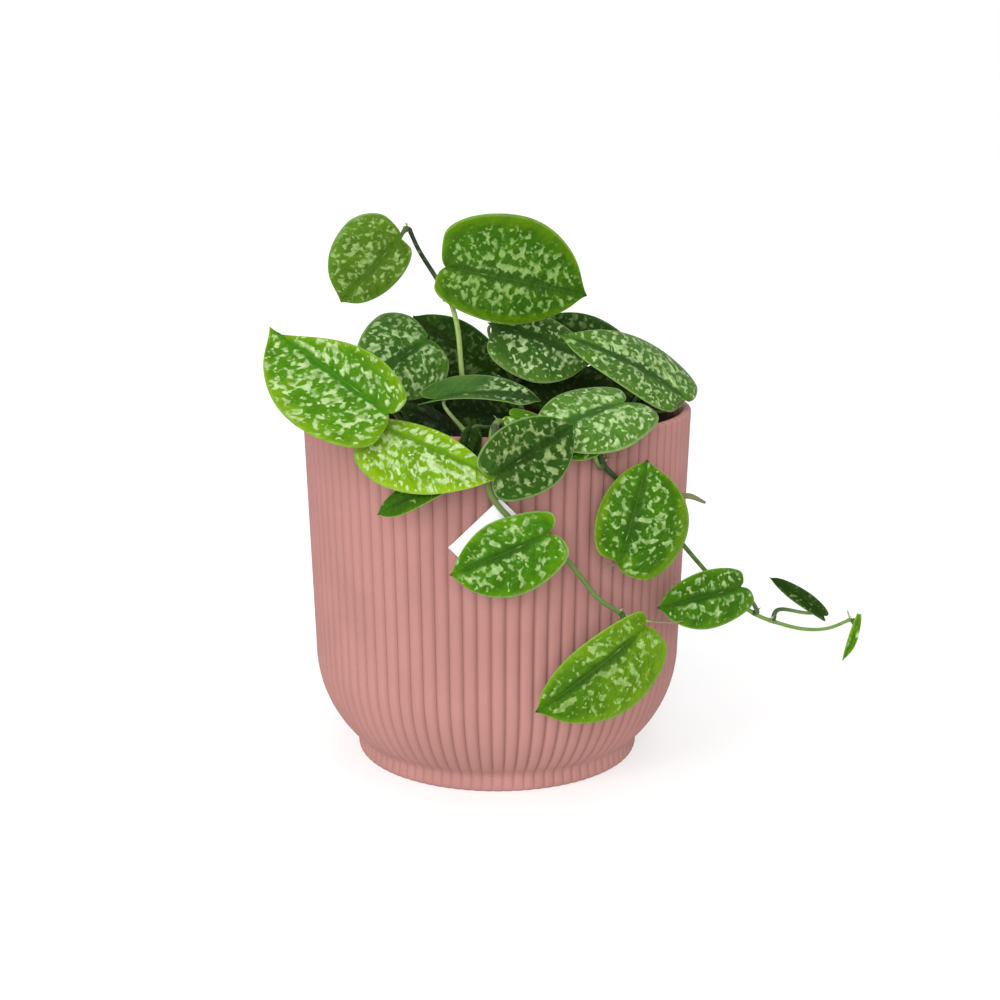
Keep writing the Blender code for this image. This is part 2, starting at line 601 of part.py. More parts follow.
def petiole_route(leaf):
    """From under the blade's base to just off the stem."""
    base, length, along, across, up = leaf_frame(leaf)
    inset = min(PETIOLE_REACH / length, PETIOLE_LARGEST_REACH)
    lift = leaf.get("arch", ARCH) * 4 * inset * (1 - inset) * length
    start = base + inset * length * along + (lift - PETIOLE_SINK) * up
    stem = stem_points(leaf["stem"])
    last = len(stem) - 1
    number = leaf["node"] + 1
    carrier = stem[number]
    tangent = unit(stem[min(number + 1, last)] - stem[number - 1])
    way = unit(vec(*leaf["rise"]) if "rise" in leaf else start - carrier)
    lean = float(np.clip(np.dot(way, tangent), -PETIOLE_LARGEST_LEAN, PETIOLE_LARGEST_LEAN))
    side = unit(way - np.dot(way, tangent) * tangent)
    rise = unit(side * math.sqrt(1 - lean ** 2) + tangent * lean)
    clear = stem_radius(leaf["stem"], number / last) + GAP + FOOT_SPARE
    foot = carrier + side * (clear + PETIOLE_FOOT_RADIUS * abs(lean))
    pull = PETIOLE_BEND * np.linalg.norm(start - foot)
    leave = unit(vec(*leaf["leave"]) if "leave" in leaf else -along - PETIOLE_DROP * up)
    return [bezier(start, start + pull * leave, foot + pull * rise, foot, step / PETIOLE_STEPS)
            for step in range(PETIOLE_STEPS + 1)]


def make_leaf(leaf):
    """A blade and its petiole, joined."""
    blade = make_blade(leaf)
    route = petiole_route(leaf)
    radii = [PETIOLE_RADIUS + (PETIOLE_FOOT_RADIUS - PETIOLE_RADIUS) * step / PETIOLE_STEPS
             for step in range(PETIOLE_STEPS + 1)]
    boolean(blade, [tube(leaf["name"] + "_petiole", route, radii)], "UNION")
    blade.data.materials.append(material(leaf["name"] + "_green", TONES[leaf["tone"]], 0.45))
    return blade


def main():
    clear_scene()
    make_pot()
    make_soil()
    make_card()
    for name in STEMS:
        make_stem(name)
    for leaf in LEAVES:
        make_leaf(leaf)


main()
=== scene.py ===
"""Satin pothos in a ribbed pot: fine pieces, materials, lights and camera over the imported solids.

Lengths are in millimetres and are turned into metres when a mesh is made.
The origin is the centre of the pot's flat underside, +Z is up, and -Y is the front.
"""
import math
import random

import bmesh
import bpy
import numpy as np
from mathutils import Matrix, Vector, noise


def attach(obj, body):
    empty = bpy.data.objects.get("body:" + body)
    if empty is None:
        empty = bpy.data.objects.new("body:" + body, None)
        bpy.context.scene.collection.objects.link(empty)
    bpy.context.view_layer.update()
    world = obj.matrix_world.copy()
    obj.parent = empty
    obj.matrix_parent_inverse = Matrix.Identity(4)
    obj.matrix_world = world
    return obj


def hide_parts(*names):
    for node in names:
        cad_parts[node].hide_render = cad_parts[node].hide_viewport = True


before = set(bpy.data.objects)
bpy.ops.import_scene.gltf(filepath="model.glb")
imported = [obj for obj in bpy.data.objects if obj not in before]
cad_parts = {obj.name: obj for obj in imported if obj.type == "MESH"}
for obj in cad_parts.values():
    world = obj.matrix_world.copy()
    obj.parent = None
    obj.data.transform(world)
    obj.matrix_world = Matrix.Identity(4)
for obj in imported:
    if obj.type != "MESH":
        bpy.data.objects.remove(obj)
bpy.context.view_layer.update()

MM = 0.001

# Pot
POT_HEIGHT = 128.4
RIM_RADIUS = 70.0
WALL = 3.0
WALL_TAPER = 0.0325
FLOOR = 4.0
FLOOR_ROUND = 5.0
FLOOR_INSET = 4.0
BELLY_ARC_RADIUS = 45.0
BELLY_TOP = 40.0
RIBS = 88
RIB_DEPTH = 1.15
RIB_POINTS = 10
RIB_SHARPNESS = 2.8
FIRST_GROOVE = math.radians(-1.6)
FOOT_PROFILE = [(0.0, 50.9), (0.4, 51.5), (1.2, 52.0), (2.2, 52.2), (3.2, 52.1), (4.2, 51.9), (5.2, 51.8),
                (6.2, 52.1), (7.2, 52.8), (8.1, 53.6)]
FOOT_RIBS = 0.3
RIB_FADE_TOP = 11.0
BELLY_START = 9.0
BELLY_STEP = 1.4
WALL_RINGS = 18
WALL_END = POT_HEIGHT - 1.2
LIP_PROFILE = [(-1.0, 0.0), (-0.5, 0.08), (-0.2, 0.28), (0.0, 0.62)]
INNER_TOP = 100.0
INNER_HEIGHTS = (BELLY_TOP, 24.0, 14.0, FLOOR + FLOOR_ROUND)
POT_CREASE = 50.0

# Soil
SOIL_TOP = 114.0
SOIL_BUMP = 1.3
SOIL_BROAD = 0.06
SOIL_FINE = 0.3
SOIL_CLEARANCE = 0.6
SOIL_LIFT = 0.3
SOIL_EDGE = SOIL_TOP - 3.0
SOIL_SIDES = 150
SOIL_RINGS = 42
CRUMBS = 620
CRUMB_SEED = 4
CRUMB_LEAST = 0.5
CRUMB_SPREAD = 1.5
CRUMB_RARITY = 2.2
GRAIN_EVERY = 26
GRAIN_SIZE = 0.9

# Card
CARD_SIDE = 23.5
CARD_THICK = 0.7
CARD_GAP = 0.3
CARD_AZIMUTH = 0.9
CARD_MIDDLE = 92.3
CARD_COLUMNS = 40
CARD_LANES = (-1, -0.9, 0.9, 1)
CARD_POINT = 0.15
CARD_BEVEL = 0.12
CARD_CREASE = 30.0

# Stems
ROOT_DEPTH = 10.0
STEM_RADII = (1.3, 1.0)
THIN_STEMS = {"top": (1.1, 0.8), "right": (1.2, 0.6), "front": (1.3, 0.8)}
STEM_STEPS = 10
STEM_SIDES = 14
STEM_SLIM = 0.96
STEM_END = 0.55
NODE_SWELL = 0.22
NODE_REACH = 1.6
ROOT_RADII = (0.42, 0.36, 0.28, 0.22, 0.10)
ROOT_SIDES = 8
SHOOT_STEPS = 6
SHOOT_SIDES = 10

# Leaves: the outline's turning points and the default bends are for a leaf of length 1
OUTLINE_BACK = 0.22
OUTLINE_WIDEST = 0.52
BACK_SHARE = 0.45
BACK_HANDLE = 0.30
NOTCH_PULL = 0.6
NOTCH_RISE = 0.02
SHOULDER_HANDLE = 0.5
TIP_HANDLE = 0.09
BENDS = dict(arch=0.06, droop=0.10, wave=0.02, lobe=0.14, widest=0.40, full=0.5)
FOLD = 0.12
FOLD_ROUND = 0.03
DROOP_WIDTH = 0.4
WAVE_TURNS = 2.6
WAVE_SEED = 11
RIPPLE = 0.006
RIPPLE_TURNS = 5.1
SPINE_START = 0.01
SPINE_POWER = 1.25
NIB_DEPTH = 0.5
NIB_REACH = 0.06
VEIN_SWEEP = 0.38
VEIN_CURL = 0.55
SIDE_VEINS = 8.5
MIDRIB_GROOVE = 0.28
MIDRIB_HALF = 0.8
SWELL = 0.20
SWELL_POWER = 0.7
BLADE_ROWS = 46
BLADE_COLUMNS = 12
BLADE_HALF = 0.30
BLADE_EDGE_HALF = 0.11
PETIOLE_RADIUS = 0.60
PETIOLE_GROWTH = 0.12
PETIOLE_FLARE = 0.22
PETIOLE_FOOT_RADIUS = 1.0
PETIOLE_STEPS = 16
PETIOLE_SIDES = 12
PETIOLE_SINK = 0.7
PETIOLE_REACH = 2.6
PETIOLE_LARGEST_REACH = 0.1
PETIOLE_DROP = 0.6
PETIOLE_BEND = 0.35
PETIOLE_LARGEST_LEAN = 0.7
FOOT_CLEAR = 0.5
MIDRIB_STEPS = ((0.62, 0.16), (0.5, 0.26), (0.38, 0.36), (0.26, 0.46))
MIDRIB_DROP = 0.36

# Stems: each starts with the place where it leaves the soil
STEMS = {
    "top": [(-9, 8), (-10, 5, 122), (-12.5, 0, 138), (-14, -3, 156), (-17, -3, 167), (-22, -3, 175),
            (-27.5, -4, 184), (-31, -5, 192)],
    "right": [(23, -26), (25, -34, 121), (28.5, -50, 130.5), (31, -62, 132), (33, -66, 126), (34.5, -64, 119),
              (39.5, -61.5, 113.5), (48, -55, 105), (56, -48.5, 96), (63, -43, 87.5), (70, -40, 79),
              (80, -37, 67.5), (90, -35, 60), (97, -33, 56.5), (108, -29, 52.5), (118, -25.5, 51.5),
              (127.5, -22, 54)],
    "front": [(4, -38), (3.5, -46, 122), (1, -61, 132), (-1, -71, 131), (-2.5, -75.5, 122), (-2.5, -76, 113),
              (3, -76.5, 105), (12, -76.5, 98), (20.5, -76, 92), (27, -74, 84), (33, -72, 76), (41, -70, 70)],
    "left": [(-25, -26), (-28, -31, 121), (-36, -39, 128), (-41, -44, 131), (-44, -49, 132)],
    "middle": [(-7, -32), (-8.5, -34.5, 119), (-11, -35, 125)],
    "upper_left": [(-28, -2), (-31, -4, 120), (-34, -6, 128)],
    "centre": [(9, 11), (9, 14, 124), (6, 18, 134)],
    "upper_right": [(38, -4), (43, -5, 121), (49, -5, 127)],
    "back_left": [(-34, 20), (-39, 25, 122), (-49, 33, 131.5), (-57, 41, 131.5), (-62, 45, 123),
                  (-62, 46, 111), (-61, 47, 98)],
    "back": [(-4, 38), (-3, 45, 122), (-1, 59, 132), (1, 70, 131.5), (3, 76, 123), (4, 76.5, 110),
             (6, 76.5, 96), (9, 76, 82)],
    "back_right": [(34, 29), (38, 34, 122), (46, 44, 131.5), (53, 52, 131.5), (56, 56, 123), (56, 57, 110),
                   (54, 58, 97)],
}


def blade(*values, **bends):
    """One leaf: its name, the base of its blade, its tip, the way its upper face looks, its half-widths
    left and right of the midrib as a share of its length, its stem, the point that carries it, its look.

    Among the bends, widest, full and lobe say where a half is widest, how full it is near the tip
    and how far its lobe reaches back. leave and rise aim the two ends of its petiole.
    """
    keys = ("name", "base", "tip", "face", "left", "right", "stem", "node", "look")
    return dict(zip(keys, values), **(BENDS | bends))


LEAVES = [
    blade("top_big", (-18, -9, 178.5), (32, -5, 168), (0.05, -1, 0.15), 0.45, 0.31, "top", 4, "fresh",
          lobe=0.05, widest_left=0.45, full_right=0.3),
    blade("top_small", (-33.5, -9, 188.5), (-54.5, -13, 166.5), (-0.1, -1, 0.1), 0.31, 0.58, "top", 7, "mid",
          lobe_left=0.0, lobe_right=0.07, widest_right=0.3, full_left=0.6, full_right=0.7),
    blade("left_bright", (-34.5, -70, 136.5), (-73, -59, 163), (-0.2, -0.95, 0.4), 0.43, 0.26, "left", 4,
          "bright", lobe=0.05, widest_left=0.45, widest_right=0.25, full_left=0.6, full_right=-0.3, arch=0.03,
          droop=0.03, leave=(-0.8, 0.5, -0.3), rise=(-0.1, -1, 0.2)),
    blade("left_low", (-38.5, -61, 131), (1, -85, 118), (0, -0.7, 0.7), 0.12, 0.40, "left", 3, "bright",
          lobe=0.05, widest_right=0.3, full_left=0.4, full_right=0.35, arch=0.03),
    blade("left_under", (-19, -80, 115), (-38, -77, 105), (0, -0.8, 0.6), 0.22, 0.22, "front", 4, "fresh"),
    blade("upper_left", (-25, -6, 152.5), (-47.5, -18, 137), (-0.1, -0.9, 0.3), 0.56, 0.62, "upper_left", 2,
          "mid", lobe=0.08, widest_left=0.3, widest_right=0.22),
    blade("behind_dark", (-2, 24, 137), (-31.5, 26, 158), (0, -1, 0.2), 0.46, 0.27, "centre", 2, "dark",
          lobe=0.24, full_right=0.3),
    blade("middle_flat", (-20, -28, 135), (15.5, -32, 134.5), (0, -0.45, 0.9), 0.32, 0.13, "middle", 2, "mid",
          lobe=0.2, widest_left=0.12, widest_right=0.7, full_left=0.35, arch=0.07, droop=0, wave=0.03),
    blade("right_dark", (-3.5, 12, 156.8), (35, 4, 143), (0, -0.8, 0.6), 0.25, 0.40, "centre", 2, "mid",
          lobe=-0.08, widest_right=0.55),
    blade("right_upper", (68, -13, 131.5), (21.5, -18, 156), (0.2, -0.6, 0.8), 0.26, 0.35, "upper_right", 2,
          "mid", lobe_left=-0.08, lobe_right=0.05, widest_right=0.3, full_left=0.4, full_right=0.0),
    blade("back_upper", (43, 26, 147.5), (11, 28, 155), (0.2, -0.8, 0.5), 0.30, 0.27, "back_right", 1, "dark",
          widest_right=0.25, full_right=0.2),
    blade("right_front", (41, -58, 138), (11, -73, 127.5), (0, -0.65, 0.75), 0.46, 0.34, "right", 2, "mid",
          lobe_left=0.26, lobe_right=0.1, widest_left=0.25, full_left=0.35),
    blade("front_dark", (0.5, -91, 121), (23.8, -83, 135), (0.1, -1, 0.2), 0.40, 0.44, "front", 3, "dark",
          rise=(0, -1, 0.2), widest_left=0.32),
    blade("inner_bright", (5, -42, 131), (17, -47, 124.5), (0, -0.6, 0.8), 0.42, 0.42, "front", 1, "bright"),
    blade("pot_front", (15.5, -84, 100), (-15, -80, 86), (0, -1, 0.1), 0.44, 0.31, "front", 8, "fresh",
          full_right=0.2),
    blade("right_under", (31, -69, 124.5), (20.5, -72.5, 123), (0, -0.5, 0.9), 0.36, 0.36, "right", 5,
          "fresh"),
    blade("right_hang", (39.5, -71, 87), (48.5, -67, 121), (0.1, -1, 0.1), 0.32, 0.57, "right", 8, "fresh",
          lobe_left=-0.04, lobe_right=0.09),
    blade("right_side", (84, -42, 71.5), (54, -56, 68), (0, -1, 0.2), 0.34, 0.26, "right", 12, "fresh",
          lobe_right=0.07),
    blade("front_low", (48.5, -74, 67), (12.5, -82, 40.5), (0.2, -1, 0.1), 0.41, 0.20, "front", 11, "fresh",
          lobe=0.05),
    blade("side_small", (116.5, -26, 56.5), (97, -24, 70), (0.4, -0.8, 0.5), 0.14, 0.14, "right", 13, "dark",
          lobe=0.06, leave=(-0.8, 0, -0.3), rise=(0, 0, 1)),
    blade("side_young", (130, -22, 55.5), (124.5, -24, 39), (0.5, -0.85, 0.1), 0.12, 0.12, "right", 16,
          "bright", lobe=0.03),
    # Leaves in the painted shade look: near-black, set where the gaps inside the plant show only shade
    blade("inner_left", (-17, -20, 122), (-33.5, -26, 131), (0, -0.5, 0.8), 0.40, 0.40, "middle", 1, "deep"),
    blade("inner_middle", (5, -8, 124), (-18, -12, 128), (0, -0.8, 0.55), 0.45, 0.45, "centre", 1, "deep"),
    blade("left_inner", (-40, 1, 133), (-64, -14, 135), (0, -0.3, 1), 0.38, 0.38, "upper_left", 1, "mid"),
    blade("back_left_rim", (-46, 22, 136), (-70, 2, 141), (-0.2, 0.2, 1), 0.38, 0.38, "back_left", 2, "mid"),
    blade("back_left_hang", (-63, 49, 121), (-63, 52, 78), (-0.75, 0.66, 0.1), 0.34, 0.34, "back_left", 4,
          "fresh"),
    blade("back_left_mid", (-44, 67, 112), (-28, 79, 82), (-0.5, 0.85, 0.2), 0.34, 0.38, "back_left", 5,
          "fresh"),
    blade("back_left_low", (-58, 53, 92), (-46, 62, 54), (-0.6, 0.8, 0.1), 0.36, 0.36, "back_left", 6,
          "fresh"),
    blade("back_rim_left", (-14, 48, 132), (-42, 36, 138), (0, 0.3, 1), 0.36, 0.36, "back", 1, "mid"),
    blade("back_rim_right", (8, 66, 137), (35, 50, 143), (0, 0.5, 1), 0.40, 0.36, "back", 3, "mid"),
    blade("back_hang_left", (-7, 81, 121), (-30, 84, 87), (-0.1, 1, 0.15), 0.34, 0.40, "back", 4, "fresh"),
    blade("back_hang_right", (13, 83, 107), (22, 84.5, 71), (0.2, 1, 0.15), 0.38, 0.32, "back", 5, "fresh"),
    blade("back_hang_low", (10, 80, 78), (-4, 80, 40), (0, 1, 0.1), 0.38, 0.38, "back", 7, "fresh"),
    blade("back_right_rim", (58, 46, 137), (64, 18, 139), (0.3, 0, 1), 0.40, 0.36, "back_right", 3, "mid"),
    blade("back_right_hang", (61, 55, 120), (66, 48, 80), (0.75, 0.66, 0.1), 0.32, 0.32, "back_right", 4,
          "fresh"),
    blade("back_right_mid", (42, 69, 119), (31, 78, 87), (0.5, 0.85, 0.1), 0.28, 0.38, "back_right", 5,
          "fresh"),
    blade("back_right_low", (52.5, 62.5, 90.5), (44, 63, 50), (0.65, 0.75, 0), 0.36, 0.36, "back_right", 6,
          "fresh"),
    blade("centre_back", (12, 24, 138), (38, 26, 130), (0, -0.85, 0.5), 0.42, 0.52, "centre", 2, "deep",
          lobe=0.22),
    blade("centre_back_left", (-3, 36, 138), (-20, 60, 146), (0, -0.2, 1), 0.36, 0.36, "centre", 1, "mid"),
    blade("right_inner", (53, 8, 134), (27, 14, 132), (0, -0.85, 0.5), 0.48, 0.42, "upper_right", 2, "deep",
          leave=(0.75, -0.65, -0.1)),
    blade("inner_right", (31, -27, 126), (50, -20, 127), (0, -0.3, 1), 0.38, 0.38, "right", 1, "deep"),
    blade("inner_back", (4, 38, 127), (18, 24, 128), (0.1, -0.2, 1), 0.38, 0.38, "back", 1, "deep"),
    blade("inner_back_left", (-38, 15, 130.5), (-15, 9, 128), (0, -0.85, 0.5), 0.42, 0.42, "back_left", 1,
          "deep"),
    # A near-black leaf in painted shade, over the front rim where the gap shows only shade
    blade("rim_dark", (-7.8, -72.2, 132), (-11, -72.8, 119), (0, -1, 0.1), 0.31, 0.22, "front", 2, "deep",
          lobe=0.05),
]

# Looks, as linear colours
GLOSS = dict(pot=0.04, soil=0.2, card=0.3, stem=0.15, leaf=0.10, under=0.12, floor=0.1)
POT_PINK = (0.338, 0.166, 0.148)
# Painted shade: the colour laid into the grooves between the ribs
GROOVE_SHADE_COLOUR = (0.14, 0.050, 0.038)
# Painted shade on the inside wall below the lip: its colour, then how strongly it is laid on
INSIDE_SHADE_COLOUR = (0.045, 0.02, 0.014)
INSIDE_SHADE_MIX = 0.92
# How strongly the painted shade is laid into the grooves
GROOVE_SHADE_MIX = 0.28
SOIL_LOOKS = (("soil_dark", (0.008, 0.005, 0.003), (0.060, 0.036, 0.020), 260.0),
              ("soil_pale", (0.30, 0.28, 0.24), (0.55, 0.53, 0.48), 400.0))
CARD_WHITE = (0.92, 0.93, 0.95)
ROOT_PALE = (0.30, 0.34, 0.15)
ROOT_BROWN = (0.15, 0.15, 0.07)
ROOT_TURN = 0.4
STALK_TURN = 0.7
# Young bark, old bark, and the share of the length where one turns into the other
STEM_LOOKS = {
    "plain": ((0.20, 0.32, 0.06), (0.07, 0.14, 0.03), 0.55),
    "top": ((0.30, 0.42, 0.12), (0.015, 0.028, 0.012), 0.68),
    "right": ((0.025, 0.05, 0.015), (0.12, 0.22, 0.04), 0.58),
    "front": ((0.14, 0.21, 0.05), (0.09, 0.16, 0.035), 0.6),
}
LEAF_SHEEN = {"Specular Tint": (0.7, 1.0, 0.3, 1.0), "Subsurface Weight": 0.12,
              "Subsurface Radius": (0.25, 0.6, 0.1), "Subsurface Scale": 0.002}
FLAKE_CELL = (2.2, 2.5)
FLAKE_LEVEL = 0.72
DOT_CELL = (1.65, 1.65)
DOT_LEVEL = 0.685
# cover is how much silver a leaf has, reach how far out it goes, plain the bare half-width by the
# midrib, bare the share of the length without any, strength how solid it is and lean how it slants.
# nib is how dark the leaf's point is, and tip the colour that the blade takes on towards it.
LOOKS = {
    "bright": dict(leaf=(0.047, 0.149, 0.0016), band=(0.018, 0.102, 0.0032), rim=(0.118, 0.22, 0.0016),
        edge=(0.188, 0.329, 0.04), silver=(0.392, 0.51, 0.251), under=(0.11, 0.203, 0.04),
        stalk=(0.157, 0.251, 0.047), stalk_dark=(0.062, 0.11, 0.024), reach=0.99, cover=0.6, plain=1.2,
        strength=0.95, nib=0.0, lean=0.1),
    "fresh": dict(leaf=(0.03, 0.11, 0.0016), band=(0.013, 0.05, 0.0047), rim=(0.057, 0.159, 0.0008),
        edge=(0.18, 0.31, 0.055), silver=(0.282, 0.407, 0.157), under=(0.078, 0.149, 0.032),
        stalk=(0.141, 0.235, 0.047), stalk_dark=(0.055, 0.094, 0.024), reach=0.94, cover=0.5, plain=1.7,
        strength=0.9, nib=0.9, lean=0.5),
    "mid": dict(leaf=(0.026, 0.077, 0.007), band=(0.013, 0.044, 0.007), rim=(0.057, 0.128, 0.013),
        edge=(0.188, 0.305, 0.098), silver=(0.297, 0.415, 0.188), under=(0.07, 0.133, 0.04),
        stalk=(0.141, 0.211, 0.062), stalk_dark=(0.055, 0.086, 0.024), reach=0.97, cover=0.52, plain=1.5,
        strength=0.9, nib=0.4, lean=0.5),
    "dark": dict(leaf=(0.0097, 0.034, 0.0027), band=(0.007, 0.021, 0.0027), rim=(0.02, 0.061, 0.0044),
        edge=(0.094, 0.172, 0.043), silver=(0.149, 0.211, 0.078), under=(0.052, 0.098, 0.027),
        stalk=(0.11, 0.172, 0.047), stalk_dark=(0.04, 0.07, 0.024), reach=0.95, cover=0.42, plain=1.5,
        strength=0.8, nib=0.5, lean=0.5),
    # Painted shade: near-black leaves that stand in for the shade in the gaps inside the plant
    "deep": dict(leaf=(0.0048, 0.0165, 0.002), band=(0.0036, 0.0105, 0.0018), rim=(0.0095, 0.03, 0.0022),
        edge=(0.03, 0.065, 0.01), silver=(0.06, 0.1, 0.027), under=(0.025, 0.05, 0.012),
        stalk=(0.06, 0.095, 0.024), stalk_dark=(0.024, 0.044, 0.011), reach=0.95, cover=0.38, plain=1.5,
        strength=0.7, nib=0.3, lean=0.5),
}
# Leaves in the painted shade look sit in the shaded gaps inside the plant, with colours darkened as painted
# shade, and share the slot of the dark ones
LEAF_LOOKS = {
    "top_small": dict(leaf=(0.048, 0.107, 0.0055), band=(0.028, 0.072, 0.0047), rim=(0.072, 0.152, 0.0078),
        silver=(0.219, 0.313, 0.102), nib=0.3),
    "top_big": dict(leaf=(0.022, 0.084, 0.0012), rim=(0.07, 0.15, 0.0008), silver=(0.185, 0.295, 0.085),
        reach=0.82, cover=0.5),
    "right_hang": dict(rim=(0.095, 0.185, 0.0008), reach=0.88),
    "left_bright": dict(cover=0.52, silver=(0.35, 0.46, 0.215)),
    "upper_left": dict(leaf=(0.033, 0.098, 0.009), cover=0.6),
    "right_dark": dict(leaf=(0.034, 0.092, 0.011), silver=(0.4, 0.54, 0.25)),
    "behind_dark": dict(leaf=(0.0105, 0.04, 0.0028), band=(0.006, 0.018, 0.002), silver=(0.11, 0.16, 0.055)),
    "left_low": dict(leaf=(0.115, 0.235, 0.0024), band=(0.057, 0.165, 0.0039), rim=(0.191, 0.304, 0.0039)),
    "front_low": dict(leaf=(0.078, 0.172, 0.0039), rim=(0.11, 0.21, 0.0039), tip=(0.04, 0.12, 0.0024),
        silver=(0.24, 0.35, 0.11), reach=0.9, cover=0.46),
    "middle_flat": dict(leaf=(0.038, 0.112, 0.015), tip=(0.009, 0.03, 0.004), bare=0.3, cover=0.6,
        stalk=(0.3, 0.42, 0.14), stalk_dark=(0.16, 0.24, 0.07)),
    "pot_front": dict(leaf=(0.034, 0.125, 0.0016), rim=(0.075, 0.19, 0.001), edge=(0.25, 0.37, 0.12)),
    "right_upper": dict(leaf=(0.05, 0.13, 0.011), cover=0.6, silver=(0.33, 0.46, 0.2)),
    "right_front": dict(leaf=(0.064, 0.155, 0.016), band=(0.017, 0.068, 0.011), cover=0.62,
        silver=(0.36, 0.5, 0.23)),
    "left_under": dict(leaf=(0.026, 0.092, 0.0008), rim=(0.045, 0.11, 0.0016), cover=0.2),
    "front_dark": dict(leaf=(0.015, 0.052, 0.0044), edge=(0.19, 0.32, 0.09), cover=0.48,
        silver=(0.24, 0.31, 0.125)),
}

# Thin roots and bare shoots: points and radii
SHOOTS = {
    "right": [
        ([(48, -55, 105), (53, -57.5, 106.5), (58, -58, 107), (64, -56, 106.5), (69.5, -52, 103.5)],
         [0.8, 0.9, 0.9, 1.0, 0.5]),
        ([(44, -60, 88), (40, -68, 87.5), (36.5, -70.5, 86.2), (34, -71, 87.6)], [0.4, 0.35, 0.3, 0.15]),
    ],
    "front": [
        ([(41, -70, 70), (46, -72.5, 69), (52, -73.5, 68.3), (57, -73.5, 68.2), (61, -73, 68.6)],
         [0.5, 0.42, 0.38, 0.32, 0.16]),
    ],
}

# Camera and light
CAMERA_LENS = 57.06
CAMERA_SENSOR = 36.0
CAMERA_PLACE = (0.0011, -0.569, 0.218)
CAMERA_DOWN = 12.4
WORLD_LIGHT = 1.0
KEY = dict(strength=1.2, spread=28.0, left=42.0, up=28.0)
FILL = dict(strength=2.45, spread=34.0, left=2.0, up=16.0)
FLOOR_GLOW = 0.52
FLOOR_GREYS = ((0.45, 0.45, 0.45, 1), (0.47, 0.47, 0.47, 1))
FLOOR_REACH = 30.0
COLOUR_GAIN = 0.90


def vec(*numbers):
    return np.array(numbers, dtype=float)


def unit(vector):
    return vector / np.linalg.norm(vector)


def bezier(start, start_handle, end_handle, end, t):
    return ((1 - t) ** 3 * start + 3 * (1 - t) ** 2 * t * start_handle
            + 3 * (1 - t) * t ** 2 * end_handle + t ** 3 * end)


def forward(radius, angle):
    """x and y at a radius, at an angle to the right of the front."""
    return radius * math.sin(angle), -radius * math.cos(angle)


def smooth_route(points, steps=STEM_STEPS):
    """Points on a Catmull-Rom curve through the route's own points."""
    ends = [2 * points[0] - points[1]] + list(points) + [2 * points[-1] - points[-2]]
    route = []
    for before, start, stop, after in zip(ends, ends[1:], ends[2:], ends[3:]):
        for step in range(steps):
            t = step / steps
            route.append(0.5 * (2 * start + (stop - before) * t
                                + (2 * before - 5 * start + 4 * stop - after) * t ** 2
                                + (3 * start - before - 3 * stop + after) * t ** 3))
    return route + [points[-1]]


def put(name, data):
    """An object in the scene for a mesh, a lamp or a camera."""
    thing = bpy.data.objects.new(name, data)
    bpy.context.scene.collection.objects.link(thing)
    return thing


class Shape:
    """Points and faces gathered for one mesh, with three map values at each point."""

    def __init__(self):
        self.points = []
        self.maps = []
        self.faces = []
        self.slots = []
        self.count = 0

    def add(self, points, faces, maps, slot=0):
        self.points.append(np.asarray(points, dtype=float))
        self.maps.append(np.asarray(maps, dtype=float))
        self.faces += [tuple(self.count + corner for corner in face) for face in faces]
        self.slots += [slot] * len(faces)
        self.count += len(points)

    def piece(self, name, node, materials):
        """Make the mesh, and let it stand for its node."""
        mesh = bpy.data.meshes.new(name)
        mesh.from_pydata((np.concatenate(self.points) * MM).tolist(), [], self.faces)
        for material in materials:
            mesh.materials.append(material)
        mesh.polygons.foreach_set("material_index", self.slots)
        layer = mesh.attributes.new("map", "FLOAT_VECTOR", "POINT")
        layer.data.foreach_set("vector", np.concatenate(self.maps).ravel())
        mesh.shade_smooth()
        mesh.update()
        thing = put(name, mesh)
        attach(thing, "root")
        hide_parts(node)
        return thing


